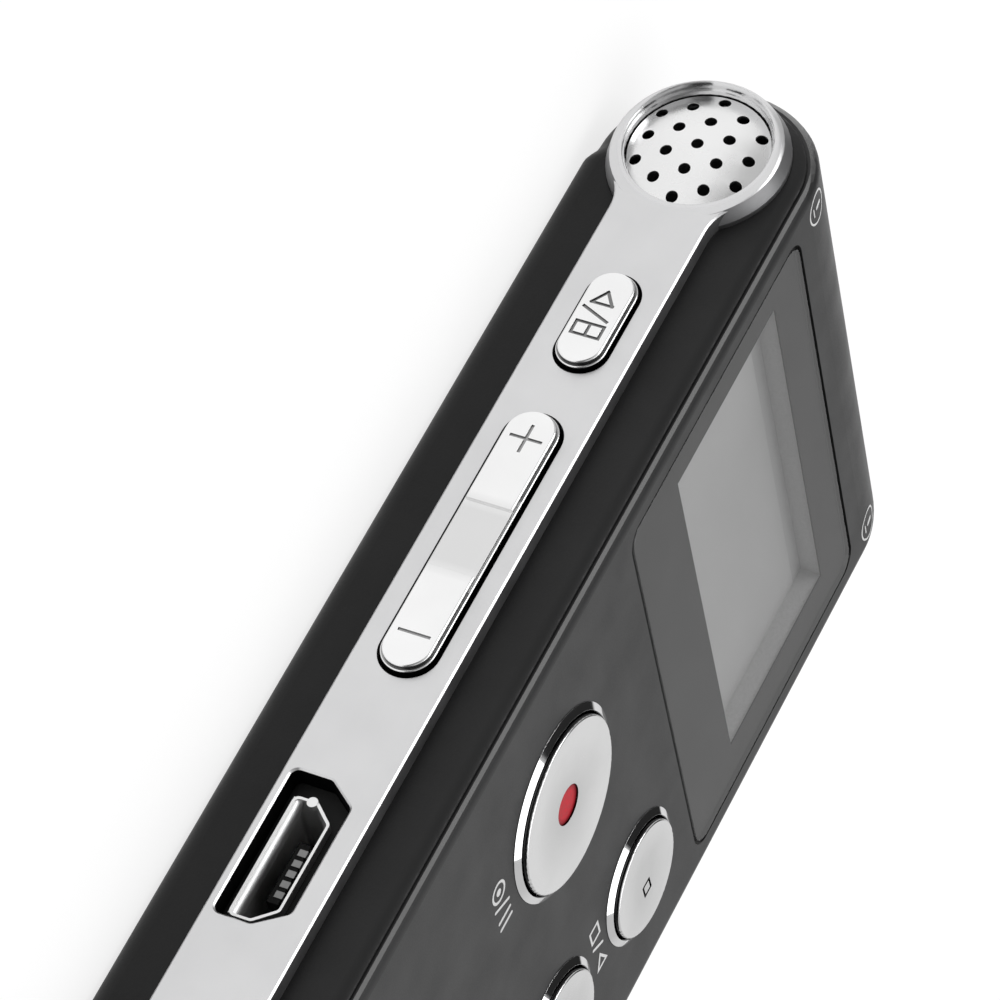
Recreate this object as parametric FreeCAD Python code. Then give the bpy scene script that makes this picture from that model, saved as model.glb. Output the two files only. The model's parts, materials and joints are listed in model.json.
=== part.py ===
import FreeCAD, Part
import math
import os

os.makedirs("parts", exist_ok=True)

V = FreeCAD.Vector

# Pocket voice recorder lying on its back. Millimetres.
# +X is the user's right, +Y runs to the microphone end, +Z is the screen side.
# The origin is the centre of the flat back.

# ---------------------------------------------------------------- case
BODY_W = 33.0          # case width without the side rails
BODY_L = 100.0
BODY_T = 12.8
NOSE_R = BODY_T / 2    # the microphone end is a full half round
TAIL_R = 3.0           # rounding of the lower end, front and back
EDGE_R = 1.2           # rounding of the long edges
NOSE_EDGE_R = 2.3      # rounding round the microphone end, at the back and the tip
NOSE_BLEND = 1.6       # length over which one rounding turns into the other
PANEL_T = 1.4          # front panel
DECK_T = 1.0           # deck of the front shell below the panel
BACK_T = 1.4           # floor of the rear shell
WALL_T = 1.5           # side walls
SPLIT_Z = BODY_T / 2   # parting line, hidden behind the side rails
PANEL_HALF_W = 16.1
PANEL_SEAM = 0.15
PANEL_CHAMFER = 0.35

HALF_W = BODY_W / 2
HALF_L = BODY_L / 2
NOSE_Y = HALF_L - NOSE_R
PANEL_BOTTOM_Z = BODY_T - PANEL_T
DECK_BOTTOM_Z = PANEL_BOTTOM_Z - DECK_T
CAVITY_HALF_W = HALF_W - WALL_T

# ---------------------------------------------------------------- side rails
RAIL_W = 5.64
RAIL_PROUD = 1.03
RAIL_SEAT = 0.3        # depth of the channel the rail is let into
RAIL_CHAMFER = 0.1
RAIL_END_Y = -46.0
RAIL_Z = BODY_T / 2
RAIL_X = HALF_W + RAIL_PROUD

RING_Y = NOSE_Y + 0.1  # the ring round each microphone
RING_Z = BODY_T / 2
RING_R = 5.05          # where it stands on the case
RING_CORE_R = 4.78     # disc inside the ring, where the rail's edges run in
RING_FOOT_DROP = 0.75
RING_SHOULDER_R = 4.74
RING_SHOULDER_RISE = 0.05
RING_TIP_R = 4.2
RING_TIP_RISE = 0.65
RING_FLAT_Y = 39.6     # here the ring is level with the rail
RING_SLOPE = 0.05      # its face rises from there towards the end of the case
JUNCTION_R = 2.8       # concave fillet between rail and ring

MIC_Y = RING_Y + 0.13  # the opening sits a little off the middle of the ring
MIC_Z = BODY_T / 2
MOUTH_R = 4.13         # opening, where its wall turns outwards
MOUTH_TURN_RISE = 0.2
MOUTH_FLARE = 0.6      # from there on, how much wider for each millimetre outwards
MOUTH_STEP_R = 4.09
MOUTH_STEP_DROP = 0.03
MOUTH_LEDGE_W = 0.08
MOUTH_BORE_R = 3.98
MOUTH_FLOOR_DROP = 0.75

GRILLE_R = 3.92
GRILLE_T = 0.22
GRILLE_RIM_DROP = 0.44  # rim below the rail face
GRILLE_RIM_W = 0.12
GRILLE_RISE = 0.68      # height of the dome
GRILLE_HOLE_R = 0.34
GRILLE_PITCH = 1.72
GRILLE_RINGS = 2        # rings of holes round the middle one
SOUND_HOLE_R = 3.5

CAPSULE_R = 3.0
CAPSULE_X0 = 12.4
CAPSULE_X1 = 15.9
BOOT_R = 3.75
BOOT_X0 = 12.9
BOOT_X1 = 14.95
LEAD_R = 0.28

# ---------------------------------------------------------------- screen
LENS_HALF_W = 14.49
LENS_Y0 = 20.73
LENS_Y1 = 41.87
LENS_CORNER_R = 1.3
LENS_T = 0.25
LENS_GAP = 0.08         # beside the lens
LENS_END_GAP = 0.2      # above and below it
MASK_T = 0.1
WINDOW_HALF_W = 12.1
WINDOW_Y0 = 26.36
WINDOW_Y1 = 38.8
LEDGE_W = 0.6           # lens overhang past the panel's own window
GASKET_GAP = 0.05       # foam collar inside the panel's window
GASKET_BACK = 0.1       # foam kept out of sight behind the mask
LCD_HALF_W = 13.2
LCD_Y0 = 22.8
LCD_Y1 = 39.0
LCD_TOP_Z = 11.2
LCD_T = 1.1
BACKLIGHT_T = 1.3

# ---------------------------------------------------------------- board
PCB_HALF_W = 13.6
PCB_Y0 = -33.0
PCB_Y1 = 39.0
PCB_Z0 = 7.2
PCB_T = 1.0
PCB_Z1 = PCB_Z0 + PCB_T

# ---------------------------------------------------------------- keys on the front
KEY_TRAVEL = 0.3
KEY_GAP = 0.2           # round every key
KEY_CLEAR = 0.05        # left over at the end of travel
KEY_FLANGE_W = 0.5
KEY_FLANGE_T = 0.4
KEY_FLANGE_DROP = 0.1
KEY_PROUD = 0.5
KEY_BEVEL = 0.3
ROUND_KEY_GAP = 0.12
ROUND_KEY_BEVEL = 0.12
KEY_BOTTOM_Z = DECK_BOTTOM_Z - KEY_FLANGE_DROP - KEY_FLANGE_T
SWITCH_SIDE = 3.2
SWITCH_H = 1.05
PLUNGER_R = 0.8
PLUNGER_TOP_Z = KEY_BOTTOM_Z - KEY_TRAVEL - KEY_CLEAR
BEZEL_W = 0.45
BEZEL_FOOT = 0.03       # height of the bezel's outer edge above the panel
BEZEL_PROUD = 0.25      # height of its inner edge
BEZEL_LAND = 0.05

REC_X, REC_Y, REC_BEZEL_R = -5.83, 9.57, 5.48
STOP_X, STOP_Y, STOP_BEZEL_R = 8.47, 14.67, 3.97
MARK_X, MARK_Y, MARK_BEZEL_R = 8.47, 4.47, 3.97
REC_DOT_R = 1.15
REC_DOT_SUNK = 0.1
REC_DOT_T = 0.35
DISH_DEPTH = 0.13       # shallow hollow in the three round keys

PAD_Y = -15.0           # four-way pad
PAD_R = 9.0
PAD_INNER_R = 4.7
PAD_CENTRE_R = 4.1
PAD_SPLIT = 0.5         # half width of the webs between the arcs
PAD_SWITCH_R = 6.85

SMALL_KEY_X = 8.5
SMALL_KEY_Y = -29.5
SMALL_KEY_L = 7.0
SMALL_KEY_W = 3.4

# ---------------------------------------------------------------- side keys
SIDE_PROUD = 0.6
SIDE_TRAVEL = 0.3
SIDE_FLANGE_X = CAVITY_HALF_W - 0.2
SIDE_FLANGE_T = 0.4
SIDE_INNER_X = SIDE_FLANGE_X - SIDE_FLANGE_T
SIDE_TIP_X = SIDE_INNER_X - SIDE_TRAVEL - KEY_CLEAR
SIDE_BEVEL = 0.12       # edge of the upper step
SIDE_STEP_PROUD = 0.3   # height of the lower step above the rail
SIDE_STEP_W = 0.14      # how far the upper step is drawn in
SIDE_STEP_R = 0.08

AB_Y, AB_Z = 31.03, 6.45
AB_HOLE_L, AB_HOLE_W = 6.9, 3.15
AB_KEY_L, AB_KEY_W = 6.5, 2.8

VOL_Y, VOL_Z = 15.85, 6.45
VOL_HOLE_L, VOL_HOLE_W = 17.7, 3.4
VOL_KEY_L, VOL_KEY_W = 17.3, 3.0
VOL_WAIST_L = 4.5       # lower middle part of the rocker
VOL_WAIST_DROP = 0.15
VOL_POST_Y = 5.5
VOL_FLANGE_L = 13.2
VOL_PIN_X = 15.7
VOL_PIN_R = 0.4
VOL_PIN_GAP = 0.05
VOL_PIN_HALF_L = 2.5

SIDE_SWITCH_DEPTH = 3.0
SIDE_SWITCH_W = 4.6
SIDE_SWITCH_H = 2.0
SIDE_PLUNGER_W = 1.5
SIDE_PLUNGER_H = 1.0

SIGN_DEPTH = 0.08       # signs are cut into the keys
SIGN_W = 0.18
PLUS_Y, PLUS_REACH = 22.5, 0.84
MINUS_Y, MINUS_REACH = 9.4, 0.84
SMALL_SIGN_W = 0.16
SMALL_SIGN_X = 0.88     # off the middle of the stop and third keys
SMALL_SIGN_HALF = 0.36

# ---------------------------------------------------------------- hold switch
HOLD_Y = 28.0
HOLD_TRAVEL = 2.0
HOLD_KNOB_L = 4.0
HOLD_KNOB_W = 1.9
HOLD_SLOT_GAP = 0.25
HOLD_PLATE_L = 7.6
HOLD_RIDGES = 4
HOLD_RIDGE_H = 0.15
HOLD_RIDGE_PITCH = 0.62
HOLD_TAB_W = 1.2
HOLD_TAB_Z0, HOLD_TAB_Z1 = 5.9, 6.7
HOLD_TAB_X0 = 12.9
HOLD_SWITCH_X0 = 11.0
HOLD_SWITCH_L = 7.0
HOLD_SWITCH_H = 2.0
HOLD_GROOVE_X0 = 12.6

# ---------------------------------------------------------------- sockets
USB_Y, USB_Z = -4.6, 5.87
USB_CUT_Y, USB_CUT_Z = -4.2, 6.0
USB_CUT_L, USB_CUT_W, USB_CUT_R = 9.0, 3.85, 0.45
USB_CUT_SLANT_Y, USB_CUT_SLANT_Z = 1.2, 1.65
USB_CUT_CHAMFER = 0.1
USB_SHELL_W = 7.5
USB_SHELL_H = 2.5
USB_SHELL_T = 0.15
USB_NARROW_W = 5.5
USB_SLOPE_H = 1.15
USB_MOUTH_X = -16.95
USB_DEPTH = 5.4
USB_TONGUE_W = 3.7
USB_TONGUE_T = 0.65
USB_CONTACT_PITCH = 0.65
USB_CONTACT_W = 0.4
USB_LIP_L, USB_LIP_H = 0.45, 0.42   # rounded lead-in on the back side of the mouth
USB_LIP_TAIL = 1.6
USB_WELD_R = 0.3                    # dot at the seam of the shell

JACK_Y = -4.4
JACK_Z = BODY_T / 2
JACK_BORE_R = 1.8
JACK_BORE_L = 14.0
JACK_NOSE_R = 2.35
JACK_NOSE_GAP = 0.1
JACK_BODY_W = 6.0
JACK_BODY_H = 5.0
JACK_BODY_X1 = 14.8
JACK_MOUTH_X = RAIL_X - 0.05

# ---------------------------------------------------------------- battery, speaker
CELL_X0, CELL_X1 = -9.4, 10.6
CELL_Y0, CELL_Y1 = 0.4, 37.6
CELL_Z0, CELL_Z1 = 1.6, 6.2
CELL_R = 1.6

SPK_Y = -40.6
SPK_W = 18.0
SPK_L = 11.0
SPK_T = 3.0
SPK_HOLE_R = 0.5
SPK_HOLE_PITCH = 1.9
SPK_ROWS = 4
SPK_COLS = 8

# ---------------------------------------------------------------- screws
CASE_SCREWS = [(-7.5, 41.5), (7.5, 41.5), (-12.3, -43.3), (12.3, -43.3)]
BOSS_R = 2.1
SCREW_R = 0.8
SCREW_CLEAR_R = 0.95
SCREW_HEAD_R = 1.45
SCREW_HEAD_T = 0.8
SCREW_SINK = 0.25
SCREW_TIP_Z = 9.4

BOARD_SCREWS = [(-9.0, 19.0), (12.2, 20.8), (-12.0, -24.0), (12.0, -24.0)]
STAND_R = 1.35
BOARD_SCREW_R = 0.5
BOARD_HEAD_R = 1.0
BOARD_HEAD_T = 0.5
BOARD_SCREW_TIP_Z = 10.1


# ---------------------------------------------------------------- helpers
def save(name, shape):
    shape.exportStep("parts/" + name + ".step")


def box(x0, x1, y0, y1, z0, z1):
    return Part.makeBox(x1 - x0, y1 - y0, z1 - z0, V(x0, y0, z0))


def disc_z(x, y, radius, z0, z1):
    return Part.makeCylinder(radius, z1 - z0, V(x, y, z0), V(0, 0, 1))


def disc_x(y, z, radius, x0, x1):
    return Part.makeCylinder(radius, x1 - x0, V(x0, y, z), V(1, 0, 0))


def mirrored(shape):
    return shape.mirror(V(0, 0, 0), V(1, 0, 0))


def fused(shapes):
    return shapes[0].multiFuse(shapes[1:]).removeSplitter()


def rounded_plan(x0, x1, y0, y1, radius, z0, z1):
    """A plate with rounded corners seen from the front."""
    plate = box(x0, x1, y0, y1, z0, z1)
    upright = [e for e in plate.Edges if abs(e.Vertexes[0].Z - e.Vertexes[-1].Z) > 1e-6]
    return plate.makeFillet(radius, upright)


def slot_x(y, z, length, width, x0, x1):
    """A stadium lying along Y, as deep as x0 to x1."""
    radius = width / 2
    reach = length / 2 - radius
    parts = [
        box(x0, x1, y - reach, y + reach, z - radius, z + radius),
        disc_x(y - reach, z, radius, x0, x1),
        disc_x(y + reach, z, radius, x0, x1),
    ]
    return fused(parts)


def slot_z(x, y, length, width, z0, z1):
    """A stadium lying along X, as deep as z0 to z1."""
    radius = width / 2
    reach = length / 2 - radius
    parts = [
        box(x - reach, x + reach, y - radius, y + radius, z0, z1),
        disc_z(x - reach, y, radius, z0, z1),
        disc_z(x + reach, y, radius, z0, z1),
    ]
    return fused(parts)


def edges_at_z(shape, z):
    return [e for e in shape.Edges if abs(e.BoundBox.ZMin - z) < 1e-4 and abs(e.BoundBox.ZMax - z) < 1e-4]


def edges_at_x(shape, x):
    return [e for e in shape.Edges if abs(e.BoundBox.XMin - x) < 1e-4 and abs(e.BoundBox.XMax - x) < 1e-4]


def groove(start, end, outward, width):
    """Straight cut in the flat face of a key, square at both ends. Both points lie on the face."""
    run = (end - start).normalize() * (width / 2)
    across = run.cross(outward)
    lift = outward * 0.5
    points = [
        start - run - across + lift,
        end + run - across + lift,
        end + run + across + lift,
        start - run + across + lift,
    ]
    points.append(points[0])
    return Part.Face(Part.makePolygon(points)).extrude(outward * -(SIGN_DEPTH + 0.5))


def sign(points, outward, width):
    """Grooves that follow a line of points, closed if the last point is the first."""
    return [groove(a, b, outward, width) for a, b in zip(points[:-1], points[1:])]


def tube_along(points, radius):
    """A lead: straight runs joined by ball corners."""
    parts = []
    for start, end in zip(points[:-1], points[1:]):
        run = end - start
        parts.append(Part.makeCylinder(radius, run.Length, start, run))
        parts.append(Part.makeSphere(radius, end))
    return fused(parts[:-1])


def side_profile(inset, half_width):
    """The case seen from the side, drawn in by inset and extruded across X."""
    low = inset
    high = BODY_T - inset
    nose = NOSE_R - inset
    tail = TAIL_R - inset
    y_tail = -HALF_L + inset
    bend = tail * (1 - math.sqrt(0.5))
    blend_start = V(0, NOSE_Y - NOSE_BLEND, low)
    slant = nose * math.sqrt(0.5)
    corners = [
        V(0, NOSE_Y, low),
        V(0, NOSE_Y + nose, BODY_T / 2),
        V(0, NOSE_Y, high),
        V(0, y_tail + tail, high),
        V(0, y_tail + bend, high - bend),
        V(0, y_tail, high - tail),
        V(0, y_tail, low + tail),
        V(0, y_tail + bend, low + bend),
        V(0, y_tail + tail, low),
    ]
    edges = [
        Part.Arc(corners[0], V(0, NOSE_Y + slant, BODY_T / 2 - slant), corners[1]).toShape(),
        Part.Arc(corners[1], V(0, NOSE_Y + slant, BODY_T / 2 + slant), corners[2]).toShape(),
        Part.makeLine(corners[2], corners[3]),
        Part.Arc(corners[3], corners[4], corners[5]).toShape(),
        Part.makeLine(corners[5], corners[6]),
        Part.Arc(corners[6], corners[7], corners[8]).toShape(),
        Part.makeLine(corners[8], blend_start),
        Part.makeLine(blend_start, corners[0]),
    ]
    face = Part.Face(Part.Wire(edges))
    face.translate(V(-half_width, 0, 0))
    return face.extrude(V(2 * half_width, 0, 0))


def upper(shape, z):
    return shape.common(box(-60, 60, -80, 80, z, 40))


def lower(shape, z):
    return shape.common(box(-60, 60, -80, 80, -40, z))


# ---------------------------------------------------------------- side rails
def rail_outline(x0, x1):
    """Strip with a round lower end that flares into the microphone ring."""
    half = RAIL_W / 2
    strip = box(x0, x1, RAIL_END_Y + half, RING_Y, RAIL_Z - half, RAIL_Z + half)
    foot = disc_x(RAIL_END_Y + half, RAIL_Z, half, x0, x1)
    ring = disc_x(RING_Y, RING_Z, RING_CORE_R, x0, x1)
    return fused([strip, foot, ring])


def flared_outline(x0, x1):
    """Rail outline with concave fillets where the strip meets the ring."""
    blank = rail_outline(x0, x1)
    root_y = RING_Y - math.sqrt(RING_CORE_R ** 2 - (RAIL_W / 2) ** 2)
    notch = []
    for edge in blank.Edges:
        across = edge.BoundBox.YLength < 1e-3 and edge.BoundBox.ZLength < 1e-3
        if across and abs(edge.BoundBox.Center.y - root_y) < 0.05:
            notch.append(edge)
    return blank.makeFillet(JUNCTION_R, notch)


def turned(y, profile):
    """Solid of revolution on the -X side. The profile holds pairs of depth behind the rail face and radius."""
    points = [V(-RAIL_X + depth, y + radius, RING_Z) for depth, radius in profile]
    points.append(points[0])
    face = Part.Face(Part.makePolygon(points))
    return face.revolve(V(0, y, RING_Z), V(1, 0, 0), 360)


def ring_boss():
    """Ring round the microphone. Its wall slopes in, and its face rises slightly to the end of the case."""
    seat = RAIL_PROUD + RAIL_SEAT
    boss = turned(
        RING_Y,
        [
            (seat, 0),
            (seat, RING_R),
            (RING_FOOT_DROP, RING_R),
            (-RING_SHOULDER_RISE, RING_SHOULDER_R),
            (-RING_TIP_RISE, RING_TIP_R),
            (-RING_TIP_RISE, 0),
        ],
    )
    far = 20.0
    outside = [
        V(-RAIL_X, RING_FLAT_Y - far, RING_Z - far),
        V(-RAIL_X, RING_FLAT_Y, RING_Z - far),
        V(-RAIL_X - RING_SLOPE * far, RING_FLAT_Y + far, RING_Z - far),
        V(-RAIL_X - far, RING_FLAT_Y + far, RING_Z - far),
        V(-RAIL_X - far, RING_FLAT_Y - far, RING_Z - far),
        V(-RAIL_X, RING_FLAT_Y - far, RING_Z - far),
    ]
    return boss.cut(Part.Face(Part.makePolygon(outside)).extrude(V(0, 0, 2 * far)))


def mic_mouth():
    """Opening of the ring: a flared rim, a steep wall, a narrow ledge, a second wall."""
    far = 1.0
    return turned(
        MIC_Y,
        [
            (-far, 0),
            (-far, MOUTH_R + MOUTH_FLARE * (far - MOUTH_TURN_RISE)),
            (-MOUTH_TURN_RISE, MOUTH_R),
            (MOUTH_STEP_DROP, MOUTH_STEP_R),
            (MOUTH_STEP_DROP, MOUTH_STEP_R - MOUTH_LEDGE_W),
            (MOUTH_FLOOR_DROP, MOUTH_BORE_R),
            (MOUTH_FLOOR_DROP, 0),
        ],
    )


def left_rail_blank():
    """Rail without its openings, on the -X side."""
    strip = flared_outline(-RAIL_X, -HALF_W + RAIL_SEAT)
    strip = strip.makeChamfer(RAIL_CHAMFER, edges_at_x(strip, -RAIL_X))
    core = disc_x(RING_Y, RING_Z, RING_CORE_R - 0.1, -RAIL_X - 1, -HALF_W + RAIL_SEAT + 1)
    return ring_boss().cut(mic_mouth()).fuse(strip.cut(core))


def grille(side):
    """Domed disc with a hexagonal pattern of holes."""
    rim_x = RAIL_X - GRILLE_RIM_DROP
    ball_r = (GRILLE_R ** 2 + GRILLE_RISE ** 2) / (2 * GRILLE_RISE)
    centre_x = rim_x + GRILLE_RISE - ball_r
    outer = Part.makeSphere(ball_r, V(centre_x, MIC_Y, MIC_Z))
    inner = Part.makeSphere(ball_r - GRILLE_T, V(centre_x, MIC_Y, MIC_Z))
    slab = disc_x(MIC_Y, MIC_Z, GRILLE_R, RAIL_X - MOUTH_FLOOR_DROP, RAIL_X + 1)
    disc = outer.cut(inner).common(slab)
    rim = disc_x(MIC_Y, MIC_Z, GRILLE_R, RAIL_X - MOUTH_FLOOR_DROP, rim_x)
    rim = rim.cut(disc_x(MIC_Y, MIC_Z, GRILLE_R - GRILLE_RIM_W, RAIL_X - 2, RAIL_X))
    disc = fused([disc, rim])
    drills = []
    row_step = GRILLE_PITCH * math.sqrt(3) / 2
    for row in range(-GRILLE_RINGS, GRILLE_RINGS + 1):
        count = 2 * GRILLE_RINGS + 1 - abs(row)
        for col in range(count):
            y = MIC_Y + (col - (count - 1) / 2) * GRILLE_PITCH
            z = MIC_Z + row * row_step
            drills.append(disc_x(y, z, GRILLE_HOLE_R, RAIL_X - 2, RAIL_X + 2))
    disc = disc.cut(Part.makeCompound(drills))
    return disc if side > 0 else mirrored(disc)


rail_channel = fused(
    [
        flared_outline(HALF_W - RAIL_SEAT, RAIL_X + 1),
        disc_x(RING_Y, RING_Z, RING_R, HALF_W - RAIL_SEAT, RAIL_X + 1),
    ]
)
rail_channels = Part.makeCompound([rail_channel, mirrored(rail_channel)])

ab_hole = slot_x(AB_Y, AB_Z, AB_HOLE_L, AB_HOLE_W, -20, -CAVITY_HALF_W + 1)
vol_hole = slot_x(VOL_Y, VOL_Z, VOL_HOLE_L, VOL_HOLE_W, -20, -CAVITY_HALF_W + 1)
usb_y0, usb_y1 = USB_CUT_Y - USB_CUT_L / 2, USB_CUT_Y + USB_CUT_L / 2
usb_z0, usb_z1 = USB_CUT_Z - USB_CUT_W / 2, USB_CUT_Z + USB_CUT_W / 2
usb_outline = [
    V(-20, usb_y0, usb_z0),
    V(-20, usb_y1, usb_z0),
    V(-20, usb_y1, usb_z1 - USB_CUT_SLANT_Z),
    V(-20, usb_y1 - USB_CUT_SLANT_Y, usb_z1),
    V(-20, usb_y0 + USB_CUT_SLANT_Y, usb_z1),
    V(-20, usb_y0, usb_z1 - USB_CUT_SLANT_Z),
    V(-20, usb_y0, usb_z0),
]
usb_hole = Part.Face(Part.makePolygon(usb_outline)).extrude(V(21 - CAVITY_HALF_W, 0, 0))
usb_hole = usb_hole.makeFillet(USB_CUT_R, [e for e in usb_hole.Edges if e.BoundBox.XLength > 1])
left_holes = Part.makeCompound([ab_hole, vol_hole, usb_hole])

hold_slot = slot_x(
    HOLD_Y + HOLD_TRAVEL / 2,
    RAIL_Z,
    HOLD_KNOB_L + HOLD_TRAVEL + 2 * HOLD_SLOT_GAP,
    HOLD_KNOB_W + 2 * HOLD_SLOT_GAP,
    CAVITY_HALF_W - 1,
    20,
)
jack_hole = disc_x(JACK_Y, JACK_Z, JACK_NOSE_R + JACK_NOSE_GAP, CAVITY_HALF_W - 1, 20)
right_holes = Part.makeCompound([hold_slot, jack_hole])

sound_hole = disc_x(MIC_Y, MIC_Z, SOUND_HOLE_R, CAVITY_HALF_W - 2, 20)
sound_holes = Part.makeCompound([sound_hole, mirrored(sound_hole)])

rail_blank = left_rail_blank().cut(mirrored(sound_hole))
left_rail = rail_blank.cut(left_holes)
usb_rim = []
for edge in edges_at_x(left_rail, -RAIL_X):
    middle = edge.BoundBox.Center
    if abs(middle.y - USB_CUT_Y) < USB_CUT_L / 2 + 0.1 and abs(middle.z - USB_CUT_Z) < USB_CUT_W / 2 + 0.1:
        usb_rim.append(edge)
save("left_side_rail", left_rail.makeChamfer(USB_CUT_CHAMFER, usb_rim))
save("right_side_rail", mirrored(rail_blank).cut(right_holes))
save("left_mic_grille", grille(-1))
save("right_mic_grille", grille(1))

# ---------------------------------------------------------------- outer case


def edge_radius(point):
    """Rounding of the case's rim at a point of it, wider round the back of the microphone end."""
    at_nose = point.y > NOSE_Y - 0.01 and point.z < SPLIT_Z + 0.01
    return NOSE_EDGE_R if at_nose else EDGE_R


def rim_rounded(solid):
    """Rounds both side rims of the case. The radius changes evenly along an edge between two values."""
    sheet = FreeCAD.newDocument("case")
    base = sheet.addObject("Part::Feature", "base")
    base.Shape = solid
    rounding = sheet.addObject("Part::Fillet", "rounding")
    rounding.Base = base
    rows = []
    for index, edge in enumerate(solid.Edges):
        if edge.BoundBox.XLength > 1e-4:
            continue
        start = edge.valueAt(edge.FirstParameter)
        end = edge.valueAt(edge.LastParameter)
        rows.append((index + 1, edge_radius(start), edge_radius(end)))
    rounding.Edges = rows
    sheet.recompute()
    return rounding.Shape.copy()


outer = rim_rounded(side_profile(0, HALF_W))

panel_layer = side_profile(0, PANEL_HALF_W)
panel_layer = panel_layer.makeChamfer(
    PANEL_CHAMFER, edges_at_x(panel_layer, -PANEL_HALF_W) + edges_at_x(panel_layer, PANEL_HALF_W)
)
panel = upper(panel_layer.cut(side_profile(PANEL_T, HALF_W + 1)), SPLIT_Z)
panel = panel.common(outer)

panel_room = side_profile(0, PANEL_HALF_W + PANEL_SEAM).cut(side_profile(PANEL_T, HALF_W + 1))
panel_room = upper(panel_room, SPLIT_Z)

front = upper(outer, SPLIT_Z).cut(panel_room)
front = front.cut(side_profile(PANEL_T + DECK_T, CAVITY_HALF_W))
rear = lower(outer, SPLIT_Z).cut(side_profile(BACK_T, CAVITY_HALF_W))

# ---------------------------------------------------------------- screen opening
lens = rounded_plan(
    -LENS_HALF_W,
    LENS_HALF_W,
    LENS_Y0,
    LENS_Y1,
    LENS_CORNER_R,
    BODY_T - LENS_T,
    BODY_T,
)
lens_pocket = rounded_plan(
    -LENS_HALF_W - LENS_GAP,
    LENS_HALF_W + LENS_GAP,
    LENS_Y0 - LENS_END_GAP,
    LENS_Y1 + LENS_END_GAP,
    LENS_CORNER_R,
    BODY_T - LENS_T - MASK_T,
    BODY_T + 1,
)
window = box(-WINDOW_HALF_W, WINDOW_HALF_W, WINDOW_Y0, WINDOW_Y1, 0, BODY_T + 1)
panel_window = rounded_plan(
    -WINDOW_HALF_W - LEDGE_W,
    WINDOW_HALF_W + LEDGE_W,
    WINDOW_Y0 - LEDGE_W,
    WINDOW_Y1 + LEDGE_W,
    0.5,
    0,
    BODY_T + 1,
)
mask = rounded_plan(
    -LENS_HALF_W + 0.1,
    LENS_HALF_W - 0.1,
    LENS_Y0 + 0.1,
    LENS_Y1 - 0.1,
    LENS_CORNER_R,
    BODY_T - LENS_T - MASK_T,
    BODY_T - LENS_T,
).cut(window)
lcd_room = box(-LCD_HALF_W - 0.3, LCD_HALF_W + 0.3, LCD_Y0 - 0.3, LCD_Y1 + 0.3, 0, PANEL_BOTTOM_Z)

panel = panel.cut(lens_pocket).cut(panel_window)
front = front.cut(lcd_room)
save("display_lens", lens)
save("lens_mask", mask)

gasket = box(-LCD_HALF_W, LCD_HALF_W, LCD_Y0, LCD_Y1, LCD_TOP_Z, PANEL_BOTTOM_Z)
collar_w = LEDGE_W - GASKET_GAP
collar = rounded_plan(
    -WINDOW_HALF_W - collar_w,
    WINDOW_HALF_W + collar_w,
    WINDOW_Y0 - collar_w,
    WINDOW_Y1 + collar_w,
    0.5,
    PANEL_BOTTOM_Z,
    BODY_T - LENS_T - MASK_T,
)
sight = box(
    -WINDOW_HALF_W - GASKET_BACK,
    WINDOW_HALF_W + GASKET_BACK,
    WINDOW_Y0 - GASKET_BACK,
    WINDOW_Y1 + GASKET_BACK,
    0,
    BODY_T + 1,
)
save("lcd_gasket", fused([gasket, collar]).cut(sight))
glass = box(-LCD_HALF_W, LCD_HALF_W, LCD_Y0, LCD_Y1, LCD_TOP_Z - LCD_T, LCD_TOP_Z)
save("lcd_glass", glass)
backlight = box(
    -LCD_HALF_W,
    LCD_HALF_W,
    LCD_Y0,
    LCD_Y1,
    LCD_TOP_Z - LCD_T - BACKLIGHT_T,
    LCD_TOP_Z - LCD_T,
)
upright = [e for e in backlight.Edges if e.BoundBox.ZLength > 1]
save("lcd_backlight", backlight.makeFillet(0.6, upright))


# ---------------------------------------------------------------- front keys
def dished_top(x, y, radius, top_z):
    """Ball that hollows a round key inside its flat rim, deepest at its centre."""
    ball_r = (radius ** 2 + DISH_DEPTH ** 2) / (2 * DISH_DEPTH)
    return Part.makeSphere(ball_r, V(x, y, top_z - DISH_DEPTH + ball_r))


def round_bezel(x, y, radius):
    """Ring whose flat slope climbs from the panel to the edge beside the key."""
    inner = radius - BEZEL_W
    top = BODY_T + BEZEL_PROUD
    corners = [
        V(x + inner, y, top - BEZEL_LAND),
        V(x + inner, y, PANEL_BOTTOM_Z),
        V(x + radius, y, PANEL_BOTTOM_Z),
        V(x + radius, y, BODY_T + BEZEL_FOOT),
        V(x + inner + BEZEL_LAND, y, top),
        V(x + inner, y, top - BEZEL_LAND),
    ]
    return Part.Face(Part.makePolygon(corners)).revolve(V(x, y, 0), V(0, 0, 1), 360)


def round_key(name, x, y, bezel_r):
    """Round key in a chromed bezel. Returns what to cut from panel and deck."""
    bezel_in = bezel_r - BEZEL_W
    cap_r = bezel_in - ROUND_KEY_GAP
    top_z = BODY_T + KEY_PROUD
    cap = disc_z(x, y, cap_r, KEY_BOTTOM_Z, top_z)
    cap = cap.makeFillet(ROUND_KEY_BEVEL, edges_at_z(cap, top_z))
    skirt = disc_z(x, y, cap_r + KEY_FLANGE_W, KEY_BOTTOM_Z, KEY_BOTTOM_Z + KEY_FLANGE_T)
    key = fused([cap, skirt]).cut(dished_top(x, y, cap_r - 4 * ROUND_KEY_BEVEL, top_z))
    save(name + "_bezel", round_bezel(x, y, bezel_r))
    return key, disc_z(x, y, bezel_r, 0, 20), disc_z(x, y, bezel_in, 0, 20)


panel_cuts = []
deck_cuts = []
switch_spots = []

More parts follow.
